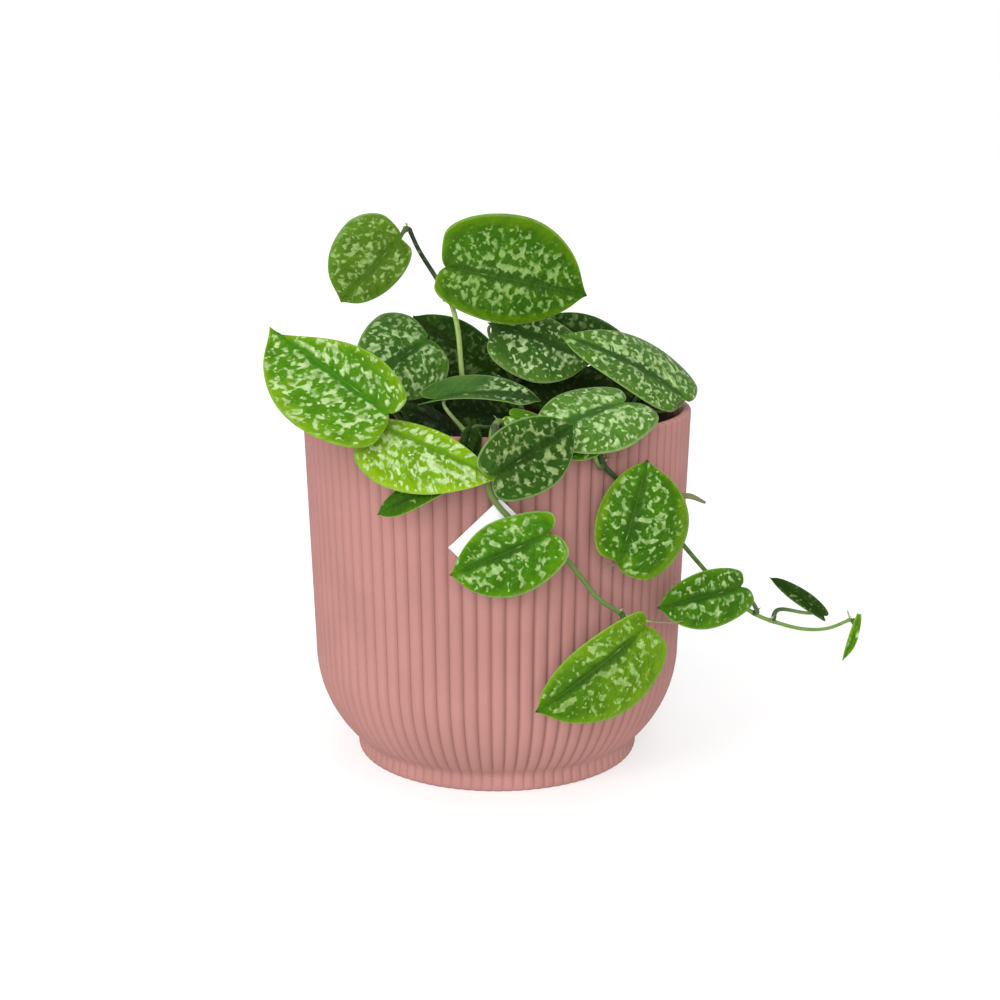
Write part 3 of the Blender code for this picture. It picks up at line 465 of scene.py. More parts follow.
class Paint:
    """A material, with short calls that add and join its nodes."""

    def __init__(self, name, gloss):
        self.material = bpy.data.materials.new(name)
        self.material.use_nodes = True
        self.tree = self.material.node_tree
        self.surface = self.tree.nodes["Principled BSDF"]
        self.feed(self.surface, {"Specular IOR Level": GLOSS[gloss]})
        self.body = None

    def feed(self, made, values):
        """Set or link a node's inputs."""
        for key, value in values.items():
            if isinstance(value, bpy.types.NodeSocket):
                self.tree.links.new(value, made.inputs[key])
            else:
                made.inputs[key].default_value = value

    def node(self, kind, *values, **settings):
        made = self.tree.nodes.new("ShaderNode" + kind)
        for key, value in settings.items():
            setattr(made, key, value)
        self.feed(made, dict(enumerate(values)))
        return made

    def math(self, operation, *values):
        return self.node("Math", *values, operation=operation).outputs[0]

    def times(self, *values):
        return self.math("MULTIPLY", *values)

    def plus(self, *values):
        return self.math("ADD", *values)

    def step(self, value, low, high, start=0.0, stop=1.0):
        """Rise smoothly from start to stop as the value goes from low to high."""
        return self.node("MapRange", value, low, high, start, stop,
                         interpolation_type="SMOOTHSTEP").outputs[0]

    def map(self):
        made = self.node("Attribute", attribute_name="map")
        return self.node("SeparateXYZ", made.outputs["Vector"]).outputs

    def place(self):
        return self.node("TexCoord").outputs["Object"]

    def vector(self, *values):
        return self.node("CombineXYZ", *values).outputs[0]

    def noise(self, vector, scale, detail=2.0, roughness=0.5, distortion=0.0):
        made = self.node("TexNoise")
        self.feed(made, dict(Vector=vector, Scale=scale, Detail=detail, Roughness=roughness,
                             Distortion=distortion))
        return made.outputs["Fac"]

    def mix(self, share, first, second):
        made = self.node("Mix", data_type="RGBA")
        self.feed(made, {0: share, 6: first, 7: second})
        return made.outputs[2]

    def vary(self, share, colour, low, high):
        """A colour that goes from its low to its high gain."""
        return self.mix(share, tint(colour, low), tint(colour, high))

    def coat(self, share, colour, gain=1.0):
        """Lay a colour over what the surface has so far."""
        self.body = self.mix(share, self.body, tint(colour, gain))

    def veins(self, along, share, length, width):
        """Fine lines across the blade that fade out by its edge."""
        ribs = self.math("ABSOLUTE", self.math("SINE", self.times(along, math.pi / (length / SIDE_VEINS))))
        return self.times(self.step(ribs, width, 0.0), self.step(share, 0.98, 0.2))

    def finish(self, rough):
        self.feed(self.surface, {"Base Color": self.body, "Roughness": rough})

    def bump(self, height, distance, strength):
        made = self.node("Bump")
        self.feed(made, dict(Height=height, Distance=distance, Strength=strength))
        self.feed(self.surface, dict(Normal=made.outputs[0]))


def tint(colour, gain=1.0):
    return (*(channel * gain * COLOUR_GAIN for channel in colour), 1.0)


def pot_material():
    """Moulded matte plastic, with painted shade that darkens the grooves a little, and painted shade on the
    inside wall below the lip.
    """
    paint = Paint("pot_pink", "pot")
    place = paint.place()
    across, height, inside = paint.map()
    paint.body = paint.vary(paint.step(paint.noise(place, 38.0, 3.0), 0.35, 0.65), POT_PINK, 0.96, 1.04)
    paint.coat(paint.step(paint.noise(place, 900.0, 2.0), 0.62, 0.75, 0.0, 0.10), POT_PINK, 0.7)
    # Painted shade: the grooves between the ribs are darkened
    groove = paint.step(paint.math("ABSOLUTE", across), 0.68, 0.98)
    paint.coat(paint.times(groove, GROOVE_SHADE_MIX), GROOVE_SHADE_COLOUR)
    # Painted shade: the inside wall is darkened from a ragged line a little below the lip down to the floor
    ragged = paint.plus(height, paint.step(paint.noise(place, 90.0, 4.0), 0.3, 0.7, -2.5, 2.5))
    inside_shade = paint.times(paint.step(ragged, POT_HEIGHT - 2.0, POT_HEIGHT - 7.0), inside)
    paint.coat(paint.times(inside_shade, INSIDE_SHADE_MIX), INSIDE_SHADE_COLOUR)
    paint.finish(paint.step(paint.noise(place, 120.0, 3.0), 0.3, 0.7, 0.50, 0.60))
    paint.bump(paint.noise(place, 1600.0, 2.0), 0.00003, 0.5)
    return paint.material


def soil_material(name, dark, light, scale):
    paint = Paint(name, "soil")
    place = paint.place()
    shade = paint.map()[0]
    mixed = paint.plus(paint.noise(place, scale, 6.0, 0.65), paint.times(shade, 0.35))
    paint.body = paint.mix(paint.step(mixed, 0.35, 0.8), tint(dark), tint(light))
    paint.finish(0.95)
    paint.bump(paint.noise(place, scale * 3, 5.0, 0.7), 0.0005, 0.9)
    return paint.material


def card_material():
    paint = Paint("card_white", "card")
    fibres = paint.noise(paint.place(), 700.0, 4.0, 0.6)
    paint.body = paint.vary(paint.step(fibres, 0.3, 0.7), CARD_WHITE, 0.96, 1.0)
    paint.finish(paint.step(fibres, 0.3, 0.7, 0.55, 0.7))
    paint.bump(fibres, 0.00004, 0.4)
    return paint.material


def stem_material(name, young, old, seed, turn):
    """Green bark with long streaks. Along the stem it goes from young to old, round about turn."""
    paint = Paint(name, "stem")
    along, around, share = paint.map()
    streaks = paint.noise(paint.vector(paint.times(along, 0.12), around, seed), 1.6, 4.0, 0.6)
    blots = paint.noise(paint.vector(along, around, seed + 9.0), 0.35, 3.0)
    age = paint.step(paint.plus(share, paint.times(blots, 0.3)), turn + 0.05, turn + 0.3)
    paint.body = paint.mix(age, tint(young), tint(old))
    paint.coat(paint.step(streaks, 0.45, 0.75, 0.0, 0.45), old, 0.55)
    paint.coat(paint.step(blots, 0.56, 0.72, 0.0, 0.35), young, 1.25)
    paint.finish(paint.step(streaks, 0.3, 0.7, 0.42, 0.6))
    paint.bump(streaks, 0.0002, 0.5)
    return paint.material


def wisps(paint, place, cell, low, softness):
    """Soft-edged flakes, as long and as wide as the cell says."""
    made = paint.node("VectorMath", place, (1 / cell[0], 1 / cell[1], 1.0), operation="MULTIPLY")
    return paint.step(paint.noise(made.outputs[0], 1.0, 1.0, 0.36, 0.25), low, paint.plus(low, softness))


def splashes(paint, along, across, share, look, seed):
    """Silver flakes: large and joined by the plain middle band, small dots by the edge."""
    width = paint.math("ABSOLUTE", across)
    place = paint.vector(paint.math("MULTIPLY_ADD", width, look["lean"], along), across, seed)
    inner = paint.step(share, 0.85, 0.30)
    patch = paint.math("MULTIPLY_ADD", paint.noise(place, 0.14, 1.0), 1.2, -0.6)
    crowd = paint.plus(paint.math("MULTIPLY_ADD", inner, 0.28, patch), look["cover"])
    large = wisps(paint, place, FLAKE_CELL, paint.math("MULTIPLY_ADD", crowd, -0.30, FLAKE_LEVEL), 0.13)
    dots = paint.math("MULTIPLY_ADD", look["cover"], -0.16, DOT_LEVEL)
    dots = wisps(paint, place, DOT_CELL, dots, 0.11)
    faint = paint.step(paint.noise(place, 0.45, 2.0), 0.35, 0.62, 0.5, 1.0)
    width = paint.plus(width, paint.math("MULTIPLY_ADD", paint.noise(place, 0.3, 1.0), 4.0, -2.0))
    free = paint.times(paint.step(width, look["plain"] - 0.5, look["plain"] + 0.9),
                        paint.step(share, look["reach"] + 0.05, look["reach"] - 0.10))
    if "bare" in look:
        start = look["bare"] * look["length"]
        free = paint.times(free, paint.step(along, start, start + 6.0))
    return paint.times(paint.times(paint.math("MAXIMUM", large, dots), faint), free)


def leaf_material(name, look, seed):
    """Satin green with silver flakes, a deeper middle band and a pale thin edge."""
    paint = Paint(name + "_top", "leaf")
    paint.feed(paint.surface, LEAF_SHEEN)
    along, across, share = paint.map()
    length = look["length"]
    place = paint.vector(along, across, seed)
    mottle = paint.noise(place, 0.14, 3.0, 0.55)
    grain = paint.noise(place, 0.9, 3.0, 0.6)
    paint.body = paint.vary(paint.step(mottle, 0.35, 0.60), look["leaf"], 0.84, 1.1)
    paint.coat(paint.step(mottle, 0.52, 0.75, 0.0, 0.5), look["rim"])
    if "tip" in look:
        paint.coat(paint.step(along, length * 0.15, length * 0.85), look["tip"])
    paint.coat(paint.step(grain, 0.35, 0.65, 0.30, 0.0), look["band"])
    rim = paint.step(paint.plus(share, paint.times(mottle, 0.5)), 0.92, 1.24)
    paint.coat(paint.times(rim, 0.8), look["rim"])
    middle = paint.step(paint.plus(share, paint.times(mottle, 0.20)), 0.36, 0.12)
    paint.coat(paint.times(middle, 0.85), look["band"])
    veins = paint.veins(along, share, length, 0.22)
    paint.coat(paint.times(veins, 0.35), look["band"], 0.8)
    silver = splashes(paint, along, across, share, look, seed)
    frost = paint.vary(paint.step(grain, 0.3, 0.7), look["silver"], 0.86, 1.1)
    paint.body = paint.mix(paint.times(silver, look["strength"]), paint.body, frost)
    paint.coat(paint.step(paint.math("ABSOLUTE", across), 0.35, 0.1, 0.0, 0.25), look["rim"], 0.8)
    paint.coat(paint.step(share, 0.93, 0.99, 0.0, 0.75), look["edge"])
    paint.coat(paint.step(along, length * 0.955, length, 0.0, look["nib"]), look["band"], 0.35)
    paint.finish(paint.plus(paint.times(silver, 0.12), paint.step(grain, 0.3, 0.7, 0.38, 0.50)))
    pucker = paint.noise(paint.vector(paint.times(along, 1.5), across, seed), 0.24, 2.0, 0.5)
    height = paint.plus(paint.times(silver, 0.03), paint.times(pucker, 0.9))
    height = paint.plus(height, paint.times(grain, 0.10))
    paint.bump(paint.math("SUBTRACT", height, paint.times(veins, 0.06)), 0.0016, 0.8)
    return paint.material


def underside_material(name, look, seed):
    """Plain pale green with raised veins."""
    paint = Paint(name + "_under", "under")
    along, across, share = paint.map()
    place = paint.vector(along, across, seed)
    mottle = paint.noise(place, 0.3, 4.0, 0.6)
    paint.body = paint.vary(paint.step(mottle, 0.3, 0.7), look["under"], 0.85, 1.15)
    veins = paint.veins(along, share, look["length"], 0.2)
    paint.coat(paint.times(veins, 0.4), look["under"], 1.5)
    paint.coat(paint.step(share, 0.965, 0.99, 0.0, 0.8), look["edge"])
    paint.finish(0.6)
    paint.bump(paint.plus(paint.times(veins, 0.8), paint.noise(place, 3.0, 3.0, 0.6)), 0.00015, 0.6)
    return paint.material


def ring_faces(rings, sides):
    """Quads between rings of points, and one face over each end."""
    faces = []
    for ring in range(rings - 1):
        near = ring * sides
        for step in range(sides):
            turn = (step + 1) % sides
            faces.append((near + step, near + turn, near + sides + turn, near + sides + step))
    last = (rings - 1) * sides
    return faces + [tuple(reversed(range(sides))), tuple(range(last, last + sides))]


def belly_radius(height):
    """Outer radius of the pot between its foot and its rim, over the crests of the ribs."""
    wall = RIM_RADIUS - (POT_HEIGHT - max(height, BELLY_TOP)) * WALL_TAPER
    drop = max(BELLY_TOP - height, 0.0)
    return wall - BELLY_ARC_RADIUS + math.sqrt(BELLY_ARC_RADIUS ** 2 - drop ** 2)


def rib_depth(height):
    """Depth of the grooves, which fade out towards the foot."""
    return RIB_DEPTH * (FOOT_RIBS + (1 - FOOT_RIBS) * min(height / RIB_FADE_TOP, 1.0))


def make_pot():
    """Round-backed ribs outside, a plain inside, a flat underside and a flat lip."""
    count = RIBS * RIB_POINTS
    turn = FIRST_GROOVE + math.tau * np.arange(count) / count
    across = 2 * ((np.arange(count) % RIB_POINTS) / RIB_POINTS) - 1
    groove = np.abs(across) ** RIB_SHARPNESS
    rings = [(height, radius, rib_depth(height)) for height, radius in FOOT_PROFILE]
    wall = np.linspace(BELLY_TOP, WALL_END, WALL_RINGS)
    for height in np.concatenate([np.arange(BELLY_START, BELLY_TOP, BELLY_STEP), wall]):
        rings.append((height, belly_radius(height), rib_depth(height)))
    for rise, inset in LIP_PROFILE:
        rings.append((POT_HEIGHT + rise, RIM_RADIUS - inset, RIB_DEPTH * (1 - inset)))
    for rise, inset in reversed(LIP_PROFILE):
        rings.append((POT_HEIGHT + rise, RIM_RADIUS - WALL + inset, 0.0))
    for height in (INNER_TOP,) + INNER_HEIGHTS:
        rings.append((height, belly_radius(height) - WALL, 0.0))
    rings.append((FLOOR, belly_radius(FLOOR + FLOOR_ROUND) - WALL - FLOOR_INSET, 0.0))
    points = []
    maps = []
    for height, radius, depth in rings:
        reach = radius - depth * groove
        points.append(np.stack([reach * np.sin(turn), -reach * np.cos(turn), np.full(count, height)], 1))
        maps.append(np.stack([across * depth / RIB_DEPTH, np.full(count, height),
                              np.full(count, depth == 0)], 1))
    shape = Shape()
    shape.add(np.concatenate(points), ring_faces(len(rings), count), np.concatenate(maps))
    pot = shape.piece("fine_pot", "pot", [pot_material()])
    pot.data.set_sharp_from_angle(angle=math.radians(POT_CREASE))


def soil_height(x, y):
    """The soil's top, rough at two sizes."""
    broad = noise.noise(Vector((x * SOIL_BROAD, y * SOIL_BROAD, 3.0)))
    fine = noise.noise(Vector((x * SOIL_FINE, y * SOIL_FINE, 7.0)))
    return SOIL_TOP + SOIL_BUMP * (0.9 * broad + 0.5 * fine)


def crumb(rng, x, y, size):
    """One lump of bark or peat, as points and faces."""
    lump = bmesh.new()
    bmesh.ops.create_icosphere(lump, subdivisions=2, radius=1.0)
    stretch = vec(rng.uniform(0.7, 1.5), rng.uniform(0.6, 1.0), rng.uniform(0.35, 0.7)) * size
    angle = rng.uniform(0, math.tau)
    tip = rng.uniform(-0.5, 0.5)
    seat = soil_height(x, y) + 0.15 * size
    points = []
    for corner in lump.verts:
        rough = 1.0 + 0.45 * noise.noise(corner.co * 1.7 + Vector((x, y, size)))
        px, py, pz = np.array(corner.co) * rough * stretch
        pz += tip * px
        points.append((x + px * math.cos(angle) - py * math.sin(angle),
                       y + px * math.sin(angle) + py * math.cos(angle), seat + pz))
    faces = [tuple(corner.index for corner in face.verts) for face in lump.faces]
    lump.free()
    return points, faces


def make_soil():
    """Rough potting soil with lumps of bark, and a few white grains."""
    inner = belly_radius(SOIL_TOP) - WALL - SOIL_CLEARANCE
    turn = math.tau * np.arange(SOIL_SIDES) / SOIL_SIDES
    rings = [(FLOOR + SOIL_LIFT, belly_radius(FLOOR + FLOOR_ROUND) - WALL - SOIL_CLEARANCE - FLOOR_INSET)]
    for height in INNER_HEIGHTS[::-1] + (SOIL_EDGE,):
        rings.append((height, belly_radius(height) - WALL - SOIL_CLEARANCE))
    points = [(*forward(radius, angle), height) for height, radius in rings for angle in turn]
    for ring in range(SOIL_RINGS):
        spots = [forward(inner * (1 - ring / SOIL_RINGS), angle) for angle in turn]
        points += [(x, y, soil_height(x, y)) for x, y in spots]
    shape = Shape()
    shape.add(points, ring_faces(len(rings) + SOIL_RINGS, SOIL_SIDES), [(0.0, 0.0, 0.0)] * len(points))
    rng = random.Random(CRUMB_SEED)
    for index in range(CRUMBS):
        size = CRUMB_LEAST + CRUMB_SPREAD * rng.random() ** CRUMB_RARITY
        reach = (inner - size * 1.6) * math.sqrt(rng.random())
        x, y = forward(reach, rng.uniform(0, math.tau))
        pale = index % GRAIN_EVERY == 0
        lump, lump_faces = crumb(rng, x, y, GRAIN_SIZE if pale else size)
        shape.add(lump, lump_faces, [(rng.uniform(-1, 1), 0, 0)] * len(lump), 1 if pale else 0)
    shape.piece("fine_soil", "soil", [soil_material(*look) for look in SOIL_LOOKS])


def make_card():
    """A blank square card, set on its corner, that hugs the crests of the ribs."""
    half = CARD_SIDE / math.sqrt(2)
    shape = Shape()
    points = []
    for face in (0, 1):
        for step in range(CARD_COLUMNS + 1):
            across = half * (2 * step / CARD_COLUMNS - 1)
            reach = max(half - abs(across), CARD_POINT)
            angle = math.radians(CARD_AZIMUTH) + across / RIM_RADIUS
            for side in CARD_LANES:
                edge = CARD_BEVEL if abs(side) == 1 or step in (0, CARD_COLUMNS) else 0.0
                radius = RIM_RADIUS + CARD_GAP + (CARD_THICK - edge if face else edge)
                points.append((*forward(radius, angle), CARD_MIDDLE + side * reach))
    row = 4 * (CARD_COLUMNS + 1)
    faces = []
    for step in range(CARD_COLUMNS):
        for lane in range(3):
            low = 4 * step + lane
            faces.append((low, low + 1, low + 5, low + 4))
            faces.append((row + low, row + low + 4, row + low + 5, row + low + 1))
        low, high = 4 * step, 4 * step + 3
        faces.append((low, low + 4, row + low + 4, row + low))
        faces.append((high, row + high, row + high + 4, high + 4))
    for lane in range(3):
        end = row - 4 + lane
        faces.append((lane, row + lane, row + lane + 1, lane + 1))
        faces.append((end, end + 1, row + end + 1, row + end))
    shape.add(points, faces, [(0.0, 0.0, 0.0)] * len(points))
    card = shape.piece("fine_card", "card_blank", [card_material()])
    card.data.set_sharp_from_angle(angle=math.radians(CARD_CREASE))


def tube(points, radii, sides):
    """A round tube with filled ends: points, faces, and along and around in millimetres at each point."""
    points = np.array(points)
    tangents = np.gradient(points, axis=0)
    tangents /= np.linalg.norm(tangents, axis=1)[:, None]
    lengths = np.concatenate([[0.0], np.cumsum(np.linalg.norm(np.diff(points, axis=0), axis=1))])
    side = unit(np.cross(tangents[0], vec(0.3, 1.0, 0.2)))
    turn = math.tau * np.arange(sides) / sides
    rings = []
    maps = []
    for point, tangent, radius, length in zip(points, tangents, radii, lengths):
        side = unit(side - np.dot(side, tangent) * tangent)
        other = np.cross(tangent, side)
        rings.append(point + radius * (np.outer(np.cos(turn), side) + np.outer(np.sin(turn), other)))
        maps.append(np.stack([np.full(sides, length), radius * np.abs(turn - math.pi),
                              np.full(sides, length / lengths[-1])], 1))
    return np.concatenate(rings), ring_faces(len(points), sides), np.concatenate(maps)


def stem_points(name):
    """A stem's route, whose first point is its buried end."""
    route = [vec(*point) for point in STEMS[name][1:]]
    surface = vec(*STEMS[name][0], SOIL_TOP)
    buried = surface - ROOT_DEPTH * unit(route[0] - surface)
    return [buried, surface] + route


def stem_radius(name, share):
    """The stem's radius at a share of its length, from its buried end to its tip."""
    root, tip = THIN_STEMS.get(name, STEM_RADII)
    return root + (tip - root) * share


def make_stem(name):
    """A stem that swells at each leaf, with small aerial roots there."""
    node = "stem_" + name
    rng = random.Random(node)
    knots = stem_points(name)
    route = smooth_route(knots)
    carriers = sorted({leaf["node"] + 1 for leaf in LEAVES if leaf["stem"] == name})
    radii = []
    for step, point in enumerate(route):
        gaps = [np.linalg.norm(point - knots[number]) for number in carriers]
        swell = min(sum(math.exp(-(gap / NODE_REACH) ** 2) for gap in gaps), 1.0)
        radii.append(stem_radius(name, step / (len(route) - 1)) * (STEM_SLIM + NODE_SWELL * swell))
    radii[-1] *= STEM_END
    shape = Shape()
    shape.add(*tube(route, radii, STEM_SIDES))
    for number in carriers:
        tangent = unit(knots[min(number + 1, len(knots) - 1)] - knots[number - 1])
        for _ in range(rng.randint(1, 3)):
            way = unit(np.cross(tangent, vec(rng.uniform(-1, 1), rng.uniform(-1, 1), rng.uniform(-1, 1))))
            reach = rng.uniform(1.6, 3.2)
            start = knots[number] + tangent * rng.uniform(-1.5, 1.5)
            shares = np.linspace(0, 1, len(ROOT_RADII))
            root = [start + way * (0.7 + reach * t) + tangent * 0.5 * t * t for t in shares]
            shape.add(*tube(root, ROOT_RADII, ROOT_SIDES), 1)
    for route, radii in SHOOTS.get(name, []):
        shoot = smooth_route([vec(*point) for point in route], SHOOT_STEPS)
        widths = np.interp(np.linspace(0, 1, len(shoot)), np.linspace(0, 1, len(radii)), radii)
        shape.add(*tube(shoot, widths, SHOOT_SIDES), 1)
    young, old, turn = STEM_LOOKS.get(name, STEM_LOOKS["plain"])
    seed = 7.0 * list(STEMS).index(name)
    shape.piece("fine_" + node, node, [
        stem_material(node + "_bark", young, old, seed, turn),
        stem_material(node + "_roots", ROOT_PALE, ROOT_BROWN, seed + 3.0, ROOT_TURN)])


def margin(t, leaf, half):
    """A point on the leaf's left or right outline: 0 is the notch, 1 the tip, for length 1."""
    width = leaf[half]
    lobe, widest_at, full = (leaf.get(bend + "_" + half, leaf[bend]) for bend in ("lobe", "widest", "full"))
    notch = vec(0, 0)
    back = vec(-lobe, BACK_SHARE * width)
    widest = vec(widest_at, width)
    tip = vec(1, 0)
    turn = vec(0, BACK_HANDLE * width)
    if t < OUTLINE_BACK:
        return bezier(notch, vec(-NOTCH_PULL * lobe, NOTCH_RISE), back - turn, back, t / OUTLINE_BACK)
    if t < OUTLINE_WIDEST:
        return bezier(back, back + turn, widest - vec(SHOULDER_HANDLE * widest_at, 0), widest,
                      (t - OUTLINE_BACK) / (OUTLINE_WIDEST - OUTLINE_BACK))
    return bezier(widest, widest + vec(SHOULDER_HANDLE * (1 - widest_at), 0),
                  tip + vec(-TIP_HANDLE, full * width), tip,
                  (t - OUTLINE_WIDEST) / (1 - OUTLINE_WIDEST))


def leaf_frame(leaf):
    base = vec(*leaf["base"])
    tip = vec(*leaf["tip"])
    length = np.linalg.norm(tip - base)
    along = unit(tip - base)
    face = vec(*leaf["face"])
    up = unit(face - np.dot(face, along) * along)
    return base, length, along, np.cross(up, along), up


def blade_grid(leaf):
    """The blade's middle surface and its map, as rows from notch to tip, each from right to left."""
    base, length, along, across, up = leaf_frame(leaf)
    rng = random.Random("leaf_" + leaf["name"] + str(WAVE_SEED))
    phase = {side: rng.uniform(0, math.tau) for side in (-1, 1)}
    grid = np.zeros((BLADE_ROWS + 1, 2 * BLADE_COLUMNS + 1, 3))
    maps = np.zeros_like(grid)
    for row in range(BLADE_ROWS + 1):
        t = row / BLADE_ROWS
        spine = SPINE_START + (1 - SPINE_START) * t ** SPINE_POWER if row else 0.0
        for column in range(-BLADE_COLUMNS, BLADE_COLUMNS + 1):
            side = 1 if column > 0 else -1
            share = abs(column) / BLADE_COLUMNS
            edge = margin(t, leaf, "left" if side > 0 else "right")
            edge[1] *= 1 - NIB_DEPTH * math.exp(-((1 - edge[0]) / NIB_REACH) ** 2)
            x = spine + (edge[0] - spine) * share
            y = edge[1] * share
            z = leaf["arch"] * 4 * x * (1 - x) + FOLD * (math.hypot(y, FOLD_ROUND) - FOLD_ROUND)
            z -= leaf["droop"] * (y / DROOP_WIDTH) ** 2
            ripple = math.sin(WAVE_TURNS * math.pi * t + phase[side])
            z += leaf["wave"] * ripple * share ** 2 * math.sin(math.pi * t)
            ripple = math.sin(RIPPLE_TURNS * WAVE_TURNS * t + 2 * phase[side])
            z += RIPPLE * ripple * share ** 4 * math.sin(math.pi * t)
            vein = length * (x - VEIN_SWEEP * y - VEIN_CURL * y * y)
            grid[row, column + BLADE_COLUMNS] = base + length * (x * along + side * y * across + z * up)
            maps[row, column + BLADE_COLUMNS] = (vein, side * y * length, share)
    return grid, maps


def blade_relief(leaf, maps):
    """How far the skin rises in millimetres: a groove over the midrib and soft swells between veins."""
    along, across, share = maps[..., 0], np.abs(maps[..., 1]), maps[..., 2]
    groove = -MIDRIB_GROOVE * np.exp(-(across / MIDRIB_HALF) ** 2)
    swell = np.abs(np.sin(np.pi * along / (leaf_frame(leaf)[1] / SIDE_VEINS))) ** SWELL_POWER - 0.5
    soft = np.clip(share / 0.4, 0, 1) * (1 - share ** 4)
    return groove + SWELL * swell * soft


def add_blade(shape, leaf):
    """The blade as a thin closed skin: the top, the underside and the edge between them."""
    grid, maps = blade_grid(leaf)
    rows, wide = grid.shape[:2]
    up = leaf_frame(leaf)[4]
    normal = np.cross(np.gradient(grid, axis=1), np.gradient(grid, axis=0))
    size = np.linalg.norm(normal, axis=2)[..., None]
    normal = np.where(size > 1e-6, normal / np.maximum(size, 1e-6), up)
    normal[0] = up
    normal[-1] = up
    normal *= np.sign((normal * up).sum(axis=2))[..., None]
    share = maps[..., 2:]
    half = BLADE_EDGE_HALF + (BLADE_HALF - BLADE_EDGE_HALF) * (1 - share ** 3)
    taper = np.sin(np.pi * np.linspace(0, 1, rows)) ** 0.3
    relief = (blade_relief(leaf, maps) * taper[:, None])[..., None]
    top = grid + normal * (half + relief)
    under = grid + normal * (relief - half)
    numbers = np.arange(rows * wide).reshape(rows, wide)
    numbers[0] = numbers[0, BLADE_COLUMNS]
    numbers[-1] = numbers[-1, BLADE_COLUMNS]
    skin = []
    for row in range(rows - 1):
        for step in range(wide - 1):
            near, far = numbers[row, step:step + 2], numbers[row + 1, step:step + 2]
            skin.append(tuple(int(corner) for corner in dict.fromkeys((*near, *far[::-1]))))
    total = rows * wide
    rim = list(numbers[:, 0]) + list(numbers[-2:0:-1, -1])
    edge = []
    for near, far in zip(rim, rim[1:] + rim[:1]):
        edge.append((int(near), int(far), int(far) + total, int(near) + total))
    points = np.concatenate([top.reshape(-1, 3), under.reshape(-1, 3)])
    both = np.concatenate([maps.reshape(-1, 3)] * 2)
    start = shape.count
    shape.add(points, skin, both)
    back = [tuple(start + total + corner for corner in reversed(face)) for face in skin]
    side = [tuple(start + corner for corner in face) for face in edge]
    shape.faces += back + side
    shape.slots += [1] * len(back) + [0] * len(side)


def petiole_route(leaf):
    """From the underside's midrib to the stem's own skin, with the radius at each point."""
    base, length, along, _, up = leaf_frame(leaf)
    arch = leaf["arch"]
    inset = min(PETIOLE_REACH / length, PETIOLE_LARGEST_REACH)
    lift = arch * 4 * inset * (1 - inset) * length
    start = base + inset * length * along + (lift - PETIOLE_SINK) * up
    stem = stem_points(leaf["stem"])
    last = len(stem) - 1
    number = leaf["node"] + 1
    carrier = stem[number]
    tangent = unit(stem[min(number + 1, last)] - stem[number - 1])
    way = unit(vec(*leaf["rise"]) if "rise" in leaf else start - carrier)
    lean = float(np.clip(np.dot(way, tangent), -PETIOLE_LARGEST_LEAN, PETIOLE_LARGEST_LEAN))
    side = unit(way - np.dot(way, tangent) * tangent)
    rise = unit(side * math.sqrt(1 - lean ** 2) + tangent * lean)
    radius = stem_radius(leaf["stem"], number / last)
    foot = carrier + side * (radius + FOOT_CLEAR + PETIOLE_FOOT_RADIUS * abs(lean))
    pull = PETIOLE_BEND * np.linalg.norm(start - foot)
    leave = unit(vec(*leaf["leave"]) if "leave" in leaf else -along - PETIOLE_DROP * up)
    route = []
    radii = []
    for x, width in MIDRIB_STEPS:
        route.append(base + length * x * along + (arch * 4 * x * (1 - x) * length - MIDRIB_DROP) * up)
        radii.append(width)
    for step in range(PETIOLE_STEPS + 1):
        t = step / PETIOLE_STEPS
        route.append(bezier(start, start + pull * leave, foot + pull * rise, foot, t))
        radii.append(PETIOLE_RADIUS + PETIOLE_GROWTH * t + PETIOLE_FLARE * t ** 6)
    route.append(carrier + side * radius * 0.5)
    radii.append(PETIOLE_FOOT_RADIUS)
    return route, radii


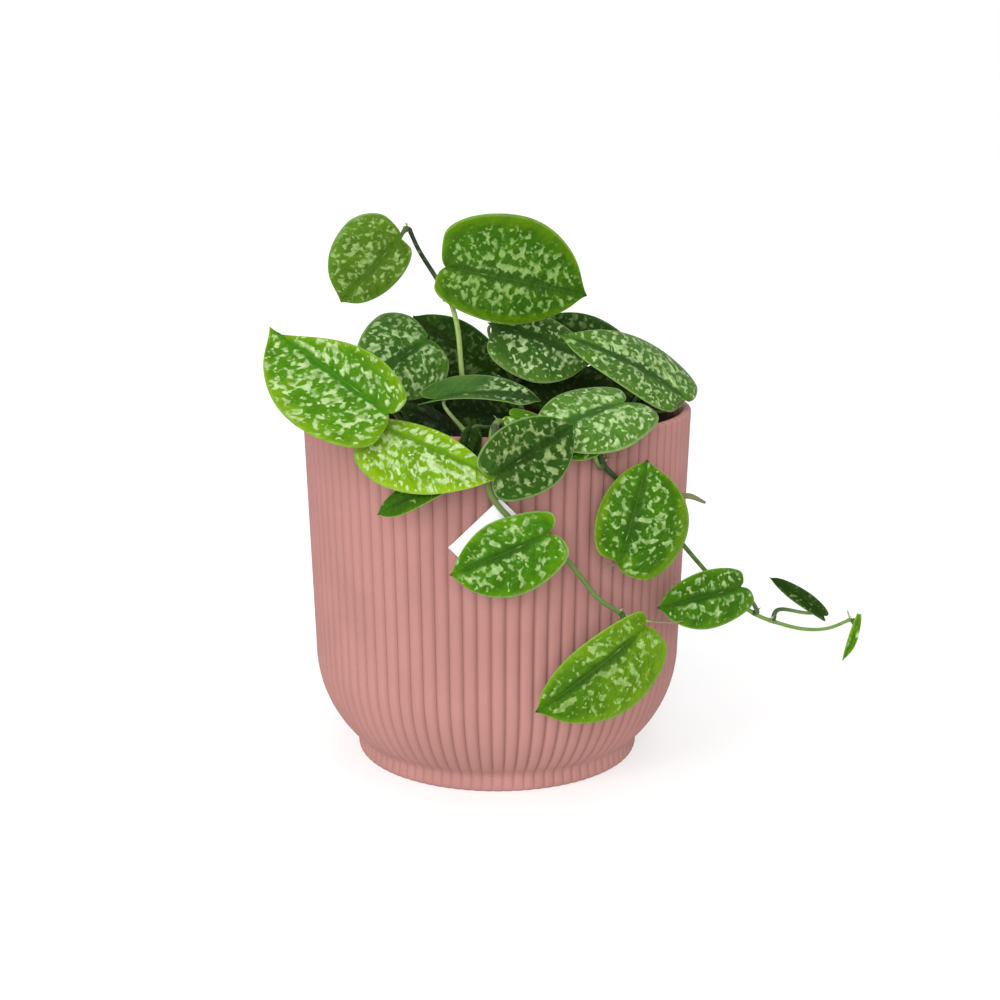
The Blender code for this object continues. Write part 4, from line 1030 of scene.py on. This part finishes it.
def make_leaf(leaf, index):
    """A leaf in its own look: the blade, its underside and its petiole."""
    node = "leaf_" + leaf["name"]
    shape = Shape()
    add_blade(shape, leaf)
    route, radii = petiole_route(leaf)
    shape.add(*tube(route, radii, PETIOLE_SIDES), 2)
    look = {**LOOKS[leaf["look"]], **LEAF_LOOKS.get(leaf["name"], {}), "length": leaf_frame(leaf)[1]}
    seed = 13.0 * index
    shape.piece("fine_" + node, node, [
        leaf_material(node, look, seed), underside_material(node, look, seed),
        stem_material(node + "_stalk", look["stalk"], look["stalk_dark"], seed, STALK_TURN)])


def make_camera():
    data = bpy.data.cameras.new("camera")
    data.lens = CAMERA_LENS
    data.sensor_width = CAMERA_SENSOR
    camera = put("camera", data)
    camera.location = CAMERA_PLACE
    camera.rotation_euler = (math.radians(90 - CAMERA_DOWN), 0, 0)
    bpy.context.scene.camera = camera


def make_light(name, strength, spread, left, up):
    """A broad light, far enough away to fall evenly: its bearing is left of the front, and up."""
    data = bpy.data.lights.new(name, "SUN")
    data.energy = strength
    data.angle = math.radians(spread)
    put(name, data).rotation_euler = (math.radians(90 - up), 0, math.radians(-left))


def make_studio():
    world = bpy.data.worlds.new("studio")
    world.use_nodes = True
    sky = world.node_tree.nodes["Background"].inputs
    sky["Color"].default_value = (1, 1, 1, 1)
    sky["Strength"].default_value = WORLD_LIGHT
    bpy.context.scene.world = world
    bpy.context.scene.view_settings.view_transform = "Standard"
    paint = Paint("floor_white", "floor")
    paint.body = paint.mix(paint.step(paint.noise(paint.place(), 3.0), 0.3, 0.7), *FLOOR_GREYS)
    paint.finish(0.9)
    paint.feed(paint.surface, {"Emission Color": (1, 1, 1, 1), "Emission Strength": FLOOR_GLOW})
    mesh = bpy.data.meshes.new("floor")
    corners = [(x * FLOOR_REACH, y * FLOOR_REACH, 0) for x, y in ((-1, -1), (1, -1), (1, 1), (-1, 1))]
    mesh.from_pydata(corners, [], [(0, 1, 2, 3)])
    mesh.materials.append(paint.material)
    put("floor", mesh)


make_camera()
make_light("key", **KEY)
make_light("fill", **FILL)
make_studio()
make_pot()
make_soil()
make_card()
for stem_name in STEMS:
    make_stem(stem_name)
for leaf_index, leaf_row in enumerate(LEAVES):
    make_leaf(leaf_row, leaf_index)
